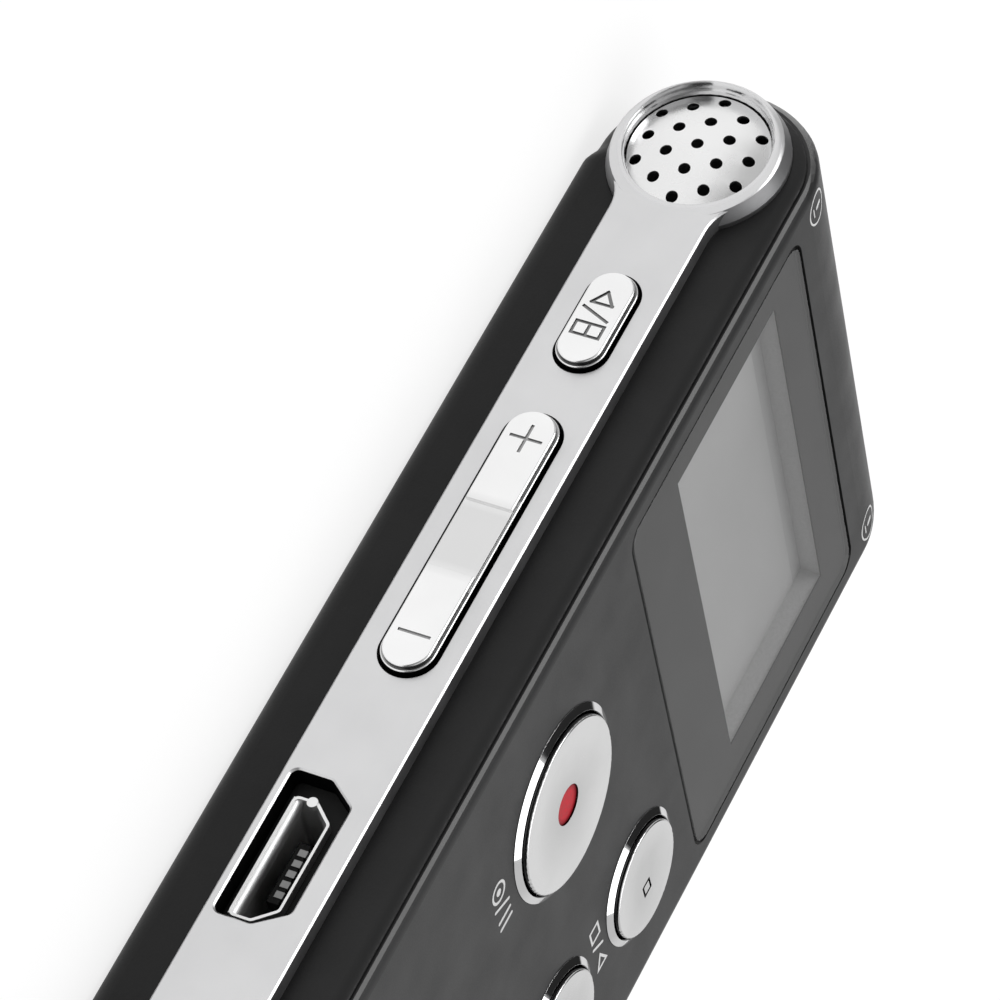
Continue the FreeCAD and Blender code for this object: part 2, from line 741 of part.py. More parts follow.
rec_key, seat, bore = round_key("rec", REC_X, REC_Y, REC_BEZEL_R)
panel_cuts.append(seat)
deck_cuts.append(bore)
switch_spots.append((REC_X, REC_Y))
dot_top = BODY_T + KEY_PROUD - DISH_DEPTH - REC_DOT_SUNK
dot = disc_z(REC_X, REC_Y, REC_DOT_R, dot_top - REC_DOT_T, dot_top)
dot_seat = disc_z(REC_X, REC_Y, REC_DOT_R, dot_top - REC_DOT_T, dot_top + 1)
save("rec_key", rec_key.cut(dot_seat))
save("rec_dot", dot)

square_sign = [(-1, -1), (1, -1), (1, 1), (-1, 1), (-1, -1)]
arrow_sign = [(-0.9, -1), (1, 0), (-0.9, 1), (-0.9, -1)]
for name, x, y, bezel_r, outline in [
    ("stop", STOP_X, STOP_Y, STOP_BEZEL_R, square_sign),
    ("mark", MARK_X, MARK_Y, MARK_BEZEL_R, arrow_sign),
]:
    key, seat, bore = round_key(name, x, y, bezel_r)
    sign_z = BODY_T + KEY_PROUD - DISH_DEPTH
    points = [
        V(x + SMALL_SIGN_X + SMALL_SIGN_HALF * across, y + SMALL_SIGN_HALF * along, sign_z)
        for across, along in outline
    ]
    save(name + "_key", key.cut(fused(sign(points, V(0, 0, 1), SMALL_SIGN_W))))
    panel_cuts.append(seat)
    deck_cuts.append(bore)
    switch_spots.append((x, y))


def wedge(direction, half_gap, z0, z1):
    """Quarter of the pad between its diagonal webs, open end at the centre."""
    reach = 30.0
    shift = half_gap * math.sqrt(2)
    tip = V(0, PAD_Y, z0) + direction * shift
    across = V(-direction.y, direction.x, 0)
    points = [
        tip,
        tip + (direction + across) * reach,
        tip + (direction - across) * reach,
        tip,
    ]
    return Part.Face(Part.makePolygon(points)).extrude(V(0, 0, z1 - z0))


def arc_plan(direction, grow, z0, z1):
    ring = disc_z(0, PAD_Y, PAD_R + grow, z0, z1).cut(disc_z(0, PAD_Y, PAD_INNER_R - grow, z0, z1))
    return ring.common(wedge(direction, PAD_SPLIT - grow, z0, z1))


def centre_plan(grow, z0, z1):
    return disc_z(0, PAD_Y, PAD_CENTRE_R + grow, z0, z1)


PAD_FLANGE_W = 0.22
for name, direction in [
    ("nav_up", V(0, 1, 0)),
    ("nav_down", V(0, -1, 0)),
    ("nav_left", V(-1, 0, 0)),
    ("nav_right", V(1, 0, 0)),
]:
    cap = arc_plan(direction, -KEY_GAP, KEY_BOTTOM_Z, BODY_T + KEY_PROUD)
    cap = cap.makeChamfer(KEY_BEVEL, edges_at_z(cap, BODY_T + KEY_PROUD))
    skirt = disc_z(0, PAD_Y, PAD_R + KEY_GAP, KEY_BOTTOM_Z, KEY_BOTTOM_Z + KEY_FLANGE_T)
    skirt = skirt.cut(disc_z(0, PAD_Y, PAD_INNER_R, KEY_BOTTOM_Z - 1, KEY_BOTTOM_Z + 1))
    skirt = skirt.common(wedge(direction, PAD_SPLIT - 0.35, KEY_BOTTOM_Z, KEY_BOTTOM_Z + 1))
    save(name + "_key", fused([cap, skirt]))
    opening = arc_plan(direction, 0, 0, 20)
    panel_cuts.append(opening)
    deck_cuts.append(opening)
    spot = V(0, PAD_Y, 0) + direction * PAD_SWITCH_R
    switch_spots.append((spot.x, spot.y))

centre = centre_plan(-KEY_GAP, KEY_BOTTOM_Z, BODY_T + KEY_PROUD)
centre = centre.makeChamfer(KEY_BEVEL, edges_at_z(centre, BODY_T + KEY_PROUD))
centre_skirt = centre_plan(PAD_FLANGE_W, KEY_BOTTOM_Z, KEY_BOTTOM_Z + KEY_FLANGE_T)
save("nav_centre_key", fused([centre, centre_skirt]))
panel_cuts.append(centre_plan(0, 0, 20))
deck_cuts.append(centre_plan(0, 0, 20))
switch_spots.append((0, PAD_Y))

for name, x in [("menu", -SMALL_KEY_X), ("erase", SMALL_KEY_X)]:
    top_z = BODY_T + KEY_PROUD
    cap = slot_z(x, SMALL_KEY_Y, SMALL_KEY_L - 2 * KEY_GAP, SMALL_KEY_W - 2 * KEY_GAP, KEY_BOTTOM_Z, top_z)
    cap = cap.makeChamfer(KEY_BEVEL, edges_at_z(cap, top_z))
    skirt = slot_z(
        x,
        SMALL_KEY_Y,
        SMALL_KEY_L + KEY_FLANGE_W,
        SMALL_KEY_W + KEY_FLANGE_W,
        KEY_BOTTOM_Z,
        KEY_BOTTOM_Z + KEY_FLANGE_T,
    )
    save(name + "_key", fused([cap, skirt]))
    opening = slot_z(x, SMALL_KEY_Y, SMALL_KEY_L, SMALL_KEY_W, 0, 20)
    panel_cuts.append(opening)
    deck_cuts.append(opening)
    switch_spots.append((x, SMALL_KEY_Y))

# ---------------------------------------------------------------- speaker
speaker_holes = []
for row in range(SPK_ROWS):
    shift = 0.5 if row % 2 else 0.0
    for col in range(SPK_COLS):
        x = (col - (SPK_COLS - 1) / 2 + shift - 0.25) * SPK_HOLE_PITCH
        y = SPK_Y + (row - (SPK_ROWS - 1) / 2) * SPK_HOLE_PITCH * math.sqrt(3) / 2
        speaker_holes.append(disc_z(x, y, SPK_HOLE_R, PANEL_BOTTOM_Z - 3, BODY_T + 1))
speaker_holes = Part.makeCompound(speaker_holes)

spk_top = DECK_BOTTOM_Z
spk_bottom = spk_top - SPK_T
frame_block = rounded_plan(
    -SPK_W / 2,
    SPK_W / 2,
    SPK_Y - SPK_L / 2,
    SPK_Y + SPK_L / 2,
    2.0,
    spk_bottom,
    spk_top,
)
cone_room = rounded_plan(
    -SPK_W / 2 + 1,
    SPK_W / 2 - 1,
    SPK_Y - SPK_L / 2 + 1,
    SPK_Y + SPK_L / 2 - 1,
    1.6,
    spk_bottom + 1.4,
    spk_top + 1,
)
save("speaker_frame", frame_block.cut(cone_room))
cone = rounded_plan(
    -SPK_W / 2 + 1.05,
    SPK_W / 2 - 1.05,
    SPK_Y - SPK_L / 2 + 1.05,
    SPK_Y + SPK_L / 2 - 1.05,
    1.55,
    spk_bottom + 1.9,
    spk_bottom + 2.2,
)
coil = disc_z(0, SPK_Y, 2.4, spk_bottom + 1.45, spk_bottom + 2.0)
dust_cap = Part.makeSphere(4.2, V(0, SPK_Y, spk_bottom + 2.2 - 3.45)).common(
    disc_z(0, SPK_Y, 3, spk_bottom + 1.95, spk_top)
)
save("speaker_cone", fused([cone, coil, dust_cap]))

# ---------------------------------------------------------------- screws and bosses
front_bosses = []
rear_bosses = []
rear_counterbores = []
case_screws = []
for x, y in CASE_SCREWS:
    front_bosses.append(
        disc_z(x, y, BOSS_R, SPLIT_Z, DECK_BOTTOM_Z + 0.2).cut(disc_z(x, y, SCREW_R, SPLIT_Z, SCREW_TIP_Z))
    )
    rear_bosses.append(disc_z(x, y, BOSS_R, BACK_T / 2, SPLIT_Z))
    rear_counterbores.append(disc_z(x, y, SCREW_CLEAR_R, -1, SPLIT_Z + 1))
    rear_counterbores.append(disc_z(x, y, SCREW_HEAD_R + 0.15, -1, SCREW_SINK + SCREW_HEAD_T))
    head = disc_z(x, y, SCREW_HEAD_R, SCREW_SINK, SCREW_SINK + SCREW_HEAD_T)
    head = head.makeFillet(0.2, edges_at_z(head, SCREW_SINK))
    cross = fused(
        [
            box(x - 0.85, x + 0.85, y - 0.18, y + 0.18, -1, SCREW_SINK + 0.45),
            box(x - 0.18, x + 0.18, y - 0.85, y + 0.85, -1, SCREW_SINK + 0.45),
        ]
    )
    shank = disc_z(x, y, SCREW_R, SCREW_SINK + SCREW_HEAD_T - 0.05, SCREW_TIP_Z - 0.3)
    case_screws.append(fused([head, shank]).cut(cross))
save("case_screws", Part.makeCompound(case_screws))

stands = []
board_screws = []
board_holes = []
for x, y in BOARD_SCREWS:
    post = disc_z(x, y, STAND_R, PCB_Z1, DECK_BOTTOM_Z + 0.2)
    stands.append(post.cut(disc_z(x, y, BOARD_SCREW_R, PCB_Z1 - 1, BOARD_SCREW_TIP_Z)))
    board_holes.append(disc_z(x, y, BOARD_SCREW_R + 0.1, PCB_Z0 - 1, PCB_Z1 + 1))
    head = disc_z(x, y, BOARD_HEAD_R, PCB_Z0 - BOARD_HEAD_T, PCB_Z0)
    head = head.makeFillet(0.15, edges_at_z(head, PCB_Z0 - BOARD_HEAD_T))
    shank = disc_z(x, y, BOARD_SCREW_R, PCB_Z0 - 0.05, BOARD_SCREW_TIP_Z - 0.2)
    slot = box(x - 0.7, x + 0.7, y - 0.14, y + 0.14, PCB_Z0 - 1, PCB_Z0 - 0.25)
    board_screws.append(fused([head, shank]).cut(slot))
save("board_screws", Part.makeCompound(board_screws))

# ---------------------------------------------------------------- shells, finished
pin_room = Part.makeCylinder(
    VOL_PIN_R, 2 * VOL_PIN_HALF_L, V(-VOL_PIN_X, VOL_Y, VOL_Z - VOL_PIN_HALF_L), V(0, 0, 1)
)
save("rocker_pin", pin_room)

panel = panel.cut(Part.makeCompound(panel_cuts)).cut(speaker_holes)
panel = panel.cut(rail_channels)
save("front_panel", panel)

front = fused([front] + front_bosses + stands)
front = front.cut(Part.makeCompound(deck_cuts)).cut(speaker_holes)
for cutter in [rail_channels, left_holes, right_holes, sound_holes, pin_room]:
    front = front.cut(cutter)
save("front_shell", front)

rear = fused([rear] + rear_bosses).cut(Part.makeCompound(rear_counterbores))
for cutter in [rail_channels, left_holes, right_holes, sound_holes, pin_room]:
    rear = rear.cut(cutter)
save("rear_shell", rear)

# ---------------------------------------------------------------- side keys
def stepped_cap(y, z, length, width, inner_x):
    """Cap of a side key: a lower step and a smaller upper one, both with soft edges."""
    step_x = -RAIL_X - SIDE_STEP_PROUD
    face_x = -RAIL_X - SIDE_PROUD
    low = slot_x(y, z, length, width, step_x, inner_x)
    low = low.makeFillet(SIDE_STEP_R, edges_at_x(low, step_x))
    high = slot_x(y, z, length - 2 * SIDE_STEP_W, width - 2 * SIDE_STEP_W, face_x, inner_x)
    high = high.makeFillet(SIDE_BEVEL, edges_at_x(high, face_x))
    return fused([low, high])


ab_key = stepped_cap(AB_Y, AB_Z, AB_KEY_L, AB_KEY_W, -SIDE_INNER_X)
ab_flange = slot_x(AB_Y, AB_Z, AB_HOLE_L + 0.6, AB_HOLE_W + 0.6, -SIDE_FLANGE_X, -SIDE_INNER_X)
ab_face = -RAIL_X - SIDE_PROUD
ab_signs = []
for outline in [
    [(31.88, 5.8), (31.88, 7.0), (32.72, 6.4), (31.88, 5.8)],
    [(31.5, 5.55), (30.85, 7.15)],
    [(29.68, 5.6), (30.5, 5.6), (30.5, 7.2), (29.68, 7.2), (29.68, 5.6)],
    [(29.68, 6.4), (30.5, 6.4)],
]:
    ab_signs += sign([V(ab_face, y, z) for y, z in outline], V(-1, 0, 0), SIGN_W)
save("ab_key", fused([ab_key, ab_flange]).cut(fused(ab_signs)))

rocker_face = -RAIL_X - SIDE_PROUD
rocker = stepped_cap(VOL_Y, VOL_Z, VOL_KEY_L, VOL_KEY_W, -CAVITY_HALF_W)
waist = box(
    rocker_face - 1,
    rocker_face + VOL_WAIST_DROP,
    VOL_Y - VOL_WAIST_L / 2,
    VOL_Y + VOL_WAIST_L / 2,
    VOL_Z - 3,
    VOL_Z + 3,
)
rocker = rocker.cut(waist)
rocker_flange = slot_x(VOL_Y, VOL_Z, VOL_FLANGE_L, VOL_KEY_W + 1.0, -SIDE_FLANGE_X, -SIDE_INNER_X)
rocker_neck = slot_x(VOL_Y, VOL_Z, VOL_FLANGE_L - 1, VOL_KEY_W, -CAVITY_HALF_W, -SIDE_FLANGE_X)
rocker = fused([rocker, rocker_neck, rocker_flange])
pin_bore = Part.makeCylinder(VOL_PIN_R + VOL_PIN_GAP, 10, V(-VOL_PIN_X, VOL_Y, VOL_Z - 5), V(0, 0, 1))
rocker_signs = []
for points in [
    [(PLUS_Y - PLUS_REACH, VOL_Z), (PLUS_Y + PLUS_REACH, VOL_Z)],
    [(PLUS_Y, VOL_Z - PLUS_REACH), (PLUS_Y, VOL_Z + PLUS_REACH)],
    [(MINUS_Y, VOL_Z - MINUS_REACH), (MINUS_Y, VOL_Z + MINUS_REACH)],
]:
    rocker_signs += sign([V(rocker_face, y, z) for y, z in points], V(-1, 0, 0), SIGN_W)
save("volume_rocker", rocker.cut(pin_bore).cut(fused(rocker_signs)))

side_bodies = []
side_plungers = []
for y in [AB_Y, VOL_Y - VOL_POST_Y, VOL_Y + VOL_POST_Y]:
    side_bodies.append(
        box(
            -PCB_HALF_W,
            -PCB_HALF_W + SIDE_SWITCH_DEPTH,
            y - SIDE_SWITCH_W / 2,
            y + SIDE_SWITCH_W / 2,
            PCB_Z0 - SIDE_SWITCH_H,
            PCB_Z0,
        )
    )
    middle_z = PCB_Z0 - SIDE_SWITCH_H / 2
    side_plungers.append(
        box(
            -SIDE_TIP_X,
            -PCB_HALF_W,
            y - SIDE_PLUNGER_W / 2,
            y + SIDE_PLUNGER_W / 2,
            middle_z - SIDE_PLUNGER_H / 2,
            middle_z + SIDE_PLUNGER_H / 2,
        )
    )
save("side_switch_bodies", Part.makeCompound(side_bodies))
save("side_switch_plungers", Part.makeCompound(side_plungers))

# ---------------------------------------------------------------- hold slider
knob_top = RAIL_X + SIDE_PROUD - HOLD_RIDGE_H
knob = slot_x(HOLD_Y, RAIL_Z, HOLD_KNOB_L, HOLD_KNOB_W, SIDE_INNER_X, knob_top)
plate = box(
    SIDE_INNER_X,
    SIDE_FLANGE_X,
    HOLD_Y - HOLD_PLATE_L / 2,
    HOLD_Y + HOLD_PLATE_L / 2,
    RAIL_Z - 1.9,
    RAIL_Z + 0.7,
)
ridges = []
for index in range(HOLD_RIDGES):
    y = HOLD_Y + (index - (HOLD_RIDGES - 1) / 2) * HOLD_RIDGE_PITCH
    ridges.append(box(knob_top - 0.1, knob_top + HOLD_RIDGE_H, y - 0.15, y + 0.15, RAIL_Z - 0.7, RAIL_Z + 0.7))
tab = box(
    HOLD_TAB_X0,
    SIDE_INNER_X,
    HOLD_Y - HOLD_TAB_W / 2,
    HOLD_Y + HOLD_TAB_W / 2,
    HOLD_TAB_Z0,
    HOLD_TAB_Z1,
)
save("hold_slider", fused([knob, plate, tab] + ridges))
hold_mid_y = HOLD_Y + HOLD_TRAVEL / 2
hold_switch = box(
    HOLD_SWITCH_X0,
    PCB_HALF_W,
    hold_mid_y - HOLD_SWITCH_L / 2,
    hold_mid_y + HOLD_SWITCH_L / 2,
    PCB_Z0 - HOLD_SWITCH_H,
    PCB_Z0,
)
groove_half = (HOLD_TAB_W + HOLD_TRAVEL) / 2 + 0.3
groove = box(
    HOLD_GROOVE_X0,
    PCB_HALF_W + 1,
    hold_mid_y - groove_half,
    hold_mid_y + groove_half,
    HOLD_TAB_Z0 - 0.25,
    HOLD_TAB_Z1 + 0.25,
)
save("hold_switch", hold_switch.cut(groove))

# ---------------------------------------------------------------- board
pcb = rounded_plan(-PCB_HALF_W, PCB_HALF_W, PCB_Y0, PCB_Y1, 1.0, PCB_Z0, PCB_Z1)
jack_notch = box(
    JACK_MOUTH_X - JACK_BORE_L - 1.6,
    PCB_HALF_W + 1,
    JACK_Y - JACK_BODY_W / 2 - 0.15,
    JACK_Y + JACK_BODY_W / 2 + 0.15,
    PCB_Z0 - 1,
    PCB_Z1 + 1,
)
pcb = pcb.cut(jack_notch).cut(Part.makeCompound(board_holes))
save("main_board", pcb)

switch_bodies = []
switch_plungers = []
for x, y in switch_spots:
    half = SWITCH_SIDE / 2
    switch_bodies.append(box(x - half, x + half, y - half, y + half, PCB_Z1, PCB_Z1 + SWITCH_H))
    switch_plungers.append(disc_z(x, y, PLUNGER_R, PCB_Z1 + SWITCH_H, PLUNGER_TOP_Z))
save("key_switch_bodies", Part.makeCompound(switch_bodies))
save("key_switch_plungers", Part.makeCompound(switch_plungers))

save("processor_chip", box(-4, 5, -17, -8, PCB_Z0 - 1.0, PCB_Z0))
save("memory_chip", box(-7, 5, -30.5, -20.5, PCB_Z0 - 1.1, PCB_Z0))
power_chips = [
    box(-10.5, -6.5, -15.5, -11.5, PCB_Z0 - 0.9, PCB_Z0),
    box(7.6, 11.6, -15.5, -11.5, PCB_Z0 - 0.9, PCB_Z0),
    box(-11.5, -8.5, -30.0, -26.0, PCB_Z0 - 0.9, PCB_Z0),
]
save("power_chips", Part.makeCompound(power_chips))
save("crystal_can", rounded_plan(7.4, 10.6, -20.6, -18.6, 0.5, PCB_Z0 - 0.9, PCB_Z0))
save(
    "lcd_flex",
    fused(
        [
            box(-5, 5, LCD_Y0 - 0.35, LCD_Y0 - 0.2, PCB_Z1, LCD_TOP_Z - LCD_T),
            box(-5, 5, LCD_Y0 - 0.35, LCD_Y0, LCD_TOP_Z - LCD_T - 0.3, LCD_TOP_Z - LCD_T - 0.15),
            box(-5, 5, LCD_Y0 - 2.2, LCD_Y0 - 0.2, PCB_Z1, PCB_Z1 + 0.15),
        ]
    ),
)

# ---------------------------------------------------------------- microphones
boot = disc_x(MIC_Y, MIC_Z, BOOT_R, BOOT_X0, BOOT_X1)
capsule = disc_x(MIC_Y, MIC_Z, CAPSULE_R, CAPSULE_X0, CAPSULE_X1)
boot = boot.cut(disc_x(MIC_Y, MIC_Z, CAPSULE_R, BOOT_X0 - 1, BOOT_X1 + 1))
ports = []
for index in range(6):
    angle = index * math.pi / 3
    y = MIC_Y + 1.5 * math.cos(angle)
    z = MIC_Z + 1.5 * math.sin(angle)
    ports.append(disc_x(y, z, 0.3, CAPSULE_X1 - 0.4, CAPSULE_X1 + 1))
capsule = capsule.cut(Part.makeCompound(ports))
save("right_mic_capsule", capsule)
save("left_mic_capsule", mirrored(capsule))
save("right_mic_boot", boot)
save("left_mic_boot", mirrored(boot))

leads = []
for offset in [-1.0, 1.0]:
    path = [
        V(CAPSULE_X0, MIC_Y + offset, MIC_Z - 0.6),
        V(CAPSULE_X0 - 1.2 + offset * 0.4, MIC_Y + offset, MIC_Z - 0.6),
        V(CAPSULE_X0 - 1.2 + offset * 0.4, PCB_Y1 - 1.2, MIC_Z - 0.6 + 0.5),
        V(CAPSULE_X0 - 1.2 + offset * 0.4, PCB_Y1 - 1.2, PCB_Z0),
    ]
    lead = tube_along(path, LEAD_R)
    leads += [lead, mirrored(lead)]
save("mic_leads", Part.makeCompound(leads))


# ---------------------------------------------------------------- micro-USB socket
def usb_section(inset, x0, x1):
    """The socket's outline: wide at the back of the case, sloped towards the front."""
    wide = USB_SHELL_W / 2 - inset
    narrow = USB_NARROW_W / 2 - inset * 0.6
    low = USB_Z - USB_SHELL_H / 2 + inset
    high = USB_Z + USB_SHELL_H / 2 - inset
    bend = high - USB_SLOPE_H + inset * 0.4
    points = [
        V(x0, USB_Y - wide, low),
        V(x0, USB_Y + wide, low),
        V(x0, USB_Y + wide, bend),
        V(x0, USB_Y + narrow, high),
        V(x0, USB_Y - narrow, high),
        V(x0, USB_Y - wide, bend),
        V(x0, USB_Y - wide, low),
    ]
    solid = Part.Face(Part.makePolygon(points)).extrude(V(x1 - x0, 0, 0))
    along = [e for e in solid.Edges if e.BoundBox.XLength > (x1 - x0) / 2]
    return solid.makeFillet(0.35 - inset * 0.5, along)


usb_back = USB_MOUTH_X + USB_DEPTH
usb_shell = usb_section(0, USB_MOUTH_X, usb_back)
usb_shell = usb_shell.cut(usb_section(USB_SHELL_T, USB_MOUTH_X - 1, usb_back - 0.4))
feet = [
    box(usb_back - 2.6, usb_back - 1.4, USB_Y + side * USB_SHELL_W / 2 - 0.15, USB_Y + side * USB_SHELL_W / 2 + 0.15,
        USB_Z - 0.5, PCB_Z0)
    for side in (-1, 1)
]
low = USB_Z - USB_SHELL_H / 2 + 0.01
lip_x = USB_MOUTH_X + 0.01
lip_outline = Part.Wire(
    [
        Part.Arc(
            V(lip_x, 0, low + 0.02),
            V(lip_x + USB_LIP_L * 0.29, 0, low + USB_LIP_H * 0.71),
            V(lip_x + USB_LIP_L, 0, low + USB_LIP_H),
        ).toShape(),
        Part.makeLine(V(lip_x + USB_LIP_L, 0, low + USB_LIP_H), V(lip_x + USB_LIP_TAIL, 0, low + 0.1)),
        Part.makeLine(V(lip_x + USB_LIP_TAIL, 0, low + 0.1), V(lip_x + USB_LIP_TAIL, 0, low)),
        Part.makeLine(V(lip_x + USB_LIP_TAIL, 0, low), V(lip_x, 0, low)),
        Part.makeLine(V(lip_x, 0, low), V(lip_x, 0, low + 0.02)),
    ]
)
lip_half = USB_SHELL_W / 2 - 0.1
lip = Part.Face(lip_outline).extrude(V(0, 2 * lip_half, 0)).translated(V(0, USB_Y - lip_half, 0))
weld = disc_x(
    USB_Y + USB_SHELL_W / 2 - 0.12,
    low + 1.05,
    USB_WELD_R,
    USB_MOUTH_X - 0.03,
    USB_MOUTH_X + 0.3,
)
save("usb_shell", fused([usb_shell, lip, weld] + feet))
tongue_z = USB_Z + 0.1
tongue = box(
    USB_MOUTH_X + 1.1,
    usb_back - 0.4,
    USB_Y - USB_TONGUE_W / 2,
    USB_Y + USB_TONGUE_W / 2,
    tongue_z - USB_TONGUE_T / 2,
    tongue_z + USB_TONGUE_T / 2,
)
plug_block = usb_section(USB_SHELL_T, usb_back - 1.2, usb_back - 0.4)
tongue = fused([tongue, plug_block])
contacts = []
for index in range(5):
    y = USB_Y + (index - 2) * USB_CONTACT_PITCH
    y0, y1 = y - USB_CONTACT_W / 2, y + USB_CONTACT_W / 2
    tongue_top = tongue_z + USB_TONGUE_T / 2
    front_x = USB_MOUTH_X + 1.06
    spring = box(front_x, usb_back - 1.2, y0, y1, tongue_top - 0.1, tongue_top + 0.05)
    tip = box(front_x, front_x + 0.24, y0, y1, tongue_z - 0.1, tongue_top + 0.05)
    contacts.append(fused([spring, tip]))
contacts = Part.makeCompound(contacts)
save("usb_tongue", tongue.cut(contacts))
save("usb_contacts", contacts)

# ---------------------------------------------------------------- headphone jack
jack_x0 = JACK_MOUTH_X - JACK_BORE_L
jack = fused(
    [
        box(
            jack_x0 - 1.2,
            JACK_BODY_X1,
            JACK_Y - JACK_BODY_W / 2,
            JACK_Y + JACK_BODY_W / 2,
            JACK_Z - JACK_BODY_H / 2,
            JACK_Z + JACK_BODY_H / 2,
        ),
        disc_x(JACK_Y, JACK_Z, JACK_NOSE_R, JACK_BODY_X1 - 1, JACK_MOUTH_X),
    ]
)
jack = jack.cut(disc_x(JACK_Y, JACK_Z, JACK_BORE_R, jack_x0, JACK_MOUTH_X + 1))
save("headphone_jack", jack)
tabs = []
for x in [jack_x0 + 0.6, jack_x0 + 4.4, jack_x0 + 8.2]:
    for side in (-1, 1):
        face_y = JACK_Y + side * JACK_BODY_W / 2
        y0 = min(face_y, face_y + side * 0.15)
        tabs.append(box(x, x + 1.2, y0, y0 + 0.15, JACK_Z - 1.6, JACK_Z + 0.6))
save("jack_tabs", Part.makeCompound(tabs))

# ---------------------------------------------------------------- battery
cell = box(CELL_X0, CELL_X1, CELL_Y0, CELL_Y1, CELL_Z0, CELL_Z1)
cell = cell.makeFillet(CELL_R, [e for e in cell.Edges if e.BoundBox.YLength > 5])
save("battery_cell", cell)
plug = box(-4.6, -0.6, -5.6, -2.6, PCB_Z0 - 1.6, PCB_Z0)
save("battery_plug", plug)
cell_leads = []
for x in [-3.4, -1.8]:
    path = [
        V(x, CELL_Y0, PCB_Z0 - 2.6),
        V(x, -1.2, PCB_Z0 - 2.6),
        V(x, -1.9, PCB_Z0 - 0.9),
        V(x, -2.6, PCB_Z0 - 0.9),
    ]
    cell_leads.append(tube_along(path, 0.4))
save("battery_leads", Part.makeCompound(cell_leads))
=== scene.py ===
import json
import math

import bmesh
import bpy
from mathutils import Matrix, Vector


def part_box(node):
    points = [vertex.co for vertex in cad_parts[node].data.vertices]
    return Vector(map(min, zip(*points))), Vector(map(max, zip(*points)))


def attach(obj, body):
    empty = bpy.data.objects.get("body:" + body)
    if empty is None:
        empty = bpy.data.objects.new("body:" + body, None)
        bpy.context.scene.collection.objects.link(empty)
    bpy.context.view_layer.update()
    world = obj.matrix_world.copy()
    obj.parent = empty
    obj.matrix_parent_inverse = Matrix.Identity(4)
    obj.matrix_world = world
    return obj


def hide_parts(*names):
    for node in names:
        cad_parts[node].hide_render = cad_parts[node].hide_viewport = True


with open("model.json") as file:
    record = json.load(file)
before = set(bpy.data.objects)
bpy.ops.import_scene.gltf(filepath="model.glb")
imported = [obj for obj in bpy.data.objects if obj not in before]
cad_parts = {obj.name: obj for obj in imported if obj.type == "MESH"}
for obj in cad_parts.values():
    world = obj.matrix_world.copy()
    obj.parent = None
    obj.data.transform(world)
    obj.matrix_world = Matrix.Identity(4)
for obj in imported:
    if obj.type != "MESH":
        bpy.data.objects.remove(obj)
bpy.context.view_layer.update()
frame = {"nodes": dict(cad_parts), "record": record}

# Shader coordinates and Blender objects are in metres. Outlines of new pieces are in millimetres.
MM = 0.001
cad = frame["nodes"]
scene = bpy.context.scene

# ---------------------------------------------------------------- sizes
panel_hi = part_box("front_panel")[1]
lens_lo, lens_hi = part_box("display_lens")
mic_lo, mic_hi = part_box("left_mic_grille")
usb_lo, usb_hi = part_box("usb_shell")

RAIL_FACE_X = -17.53 * MM  # flat face of the left rail
GRILLE_RISE = 0.68 * MM    # height of the grille's dome
RING_POLISH_R = 4.28 * MM  # the ring round the microphone is polished inside this radius
RING_RIM_R = 4.8 * MM      # where its face turns down to the case


# ---------------------------------------------------------------- materials
def gray(level):
    return (level, level, level)


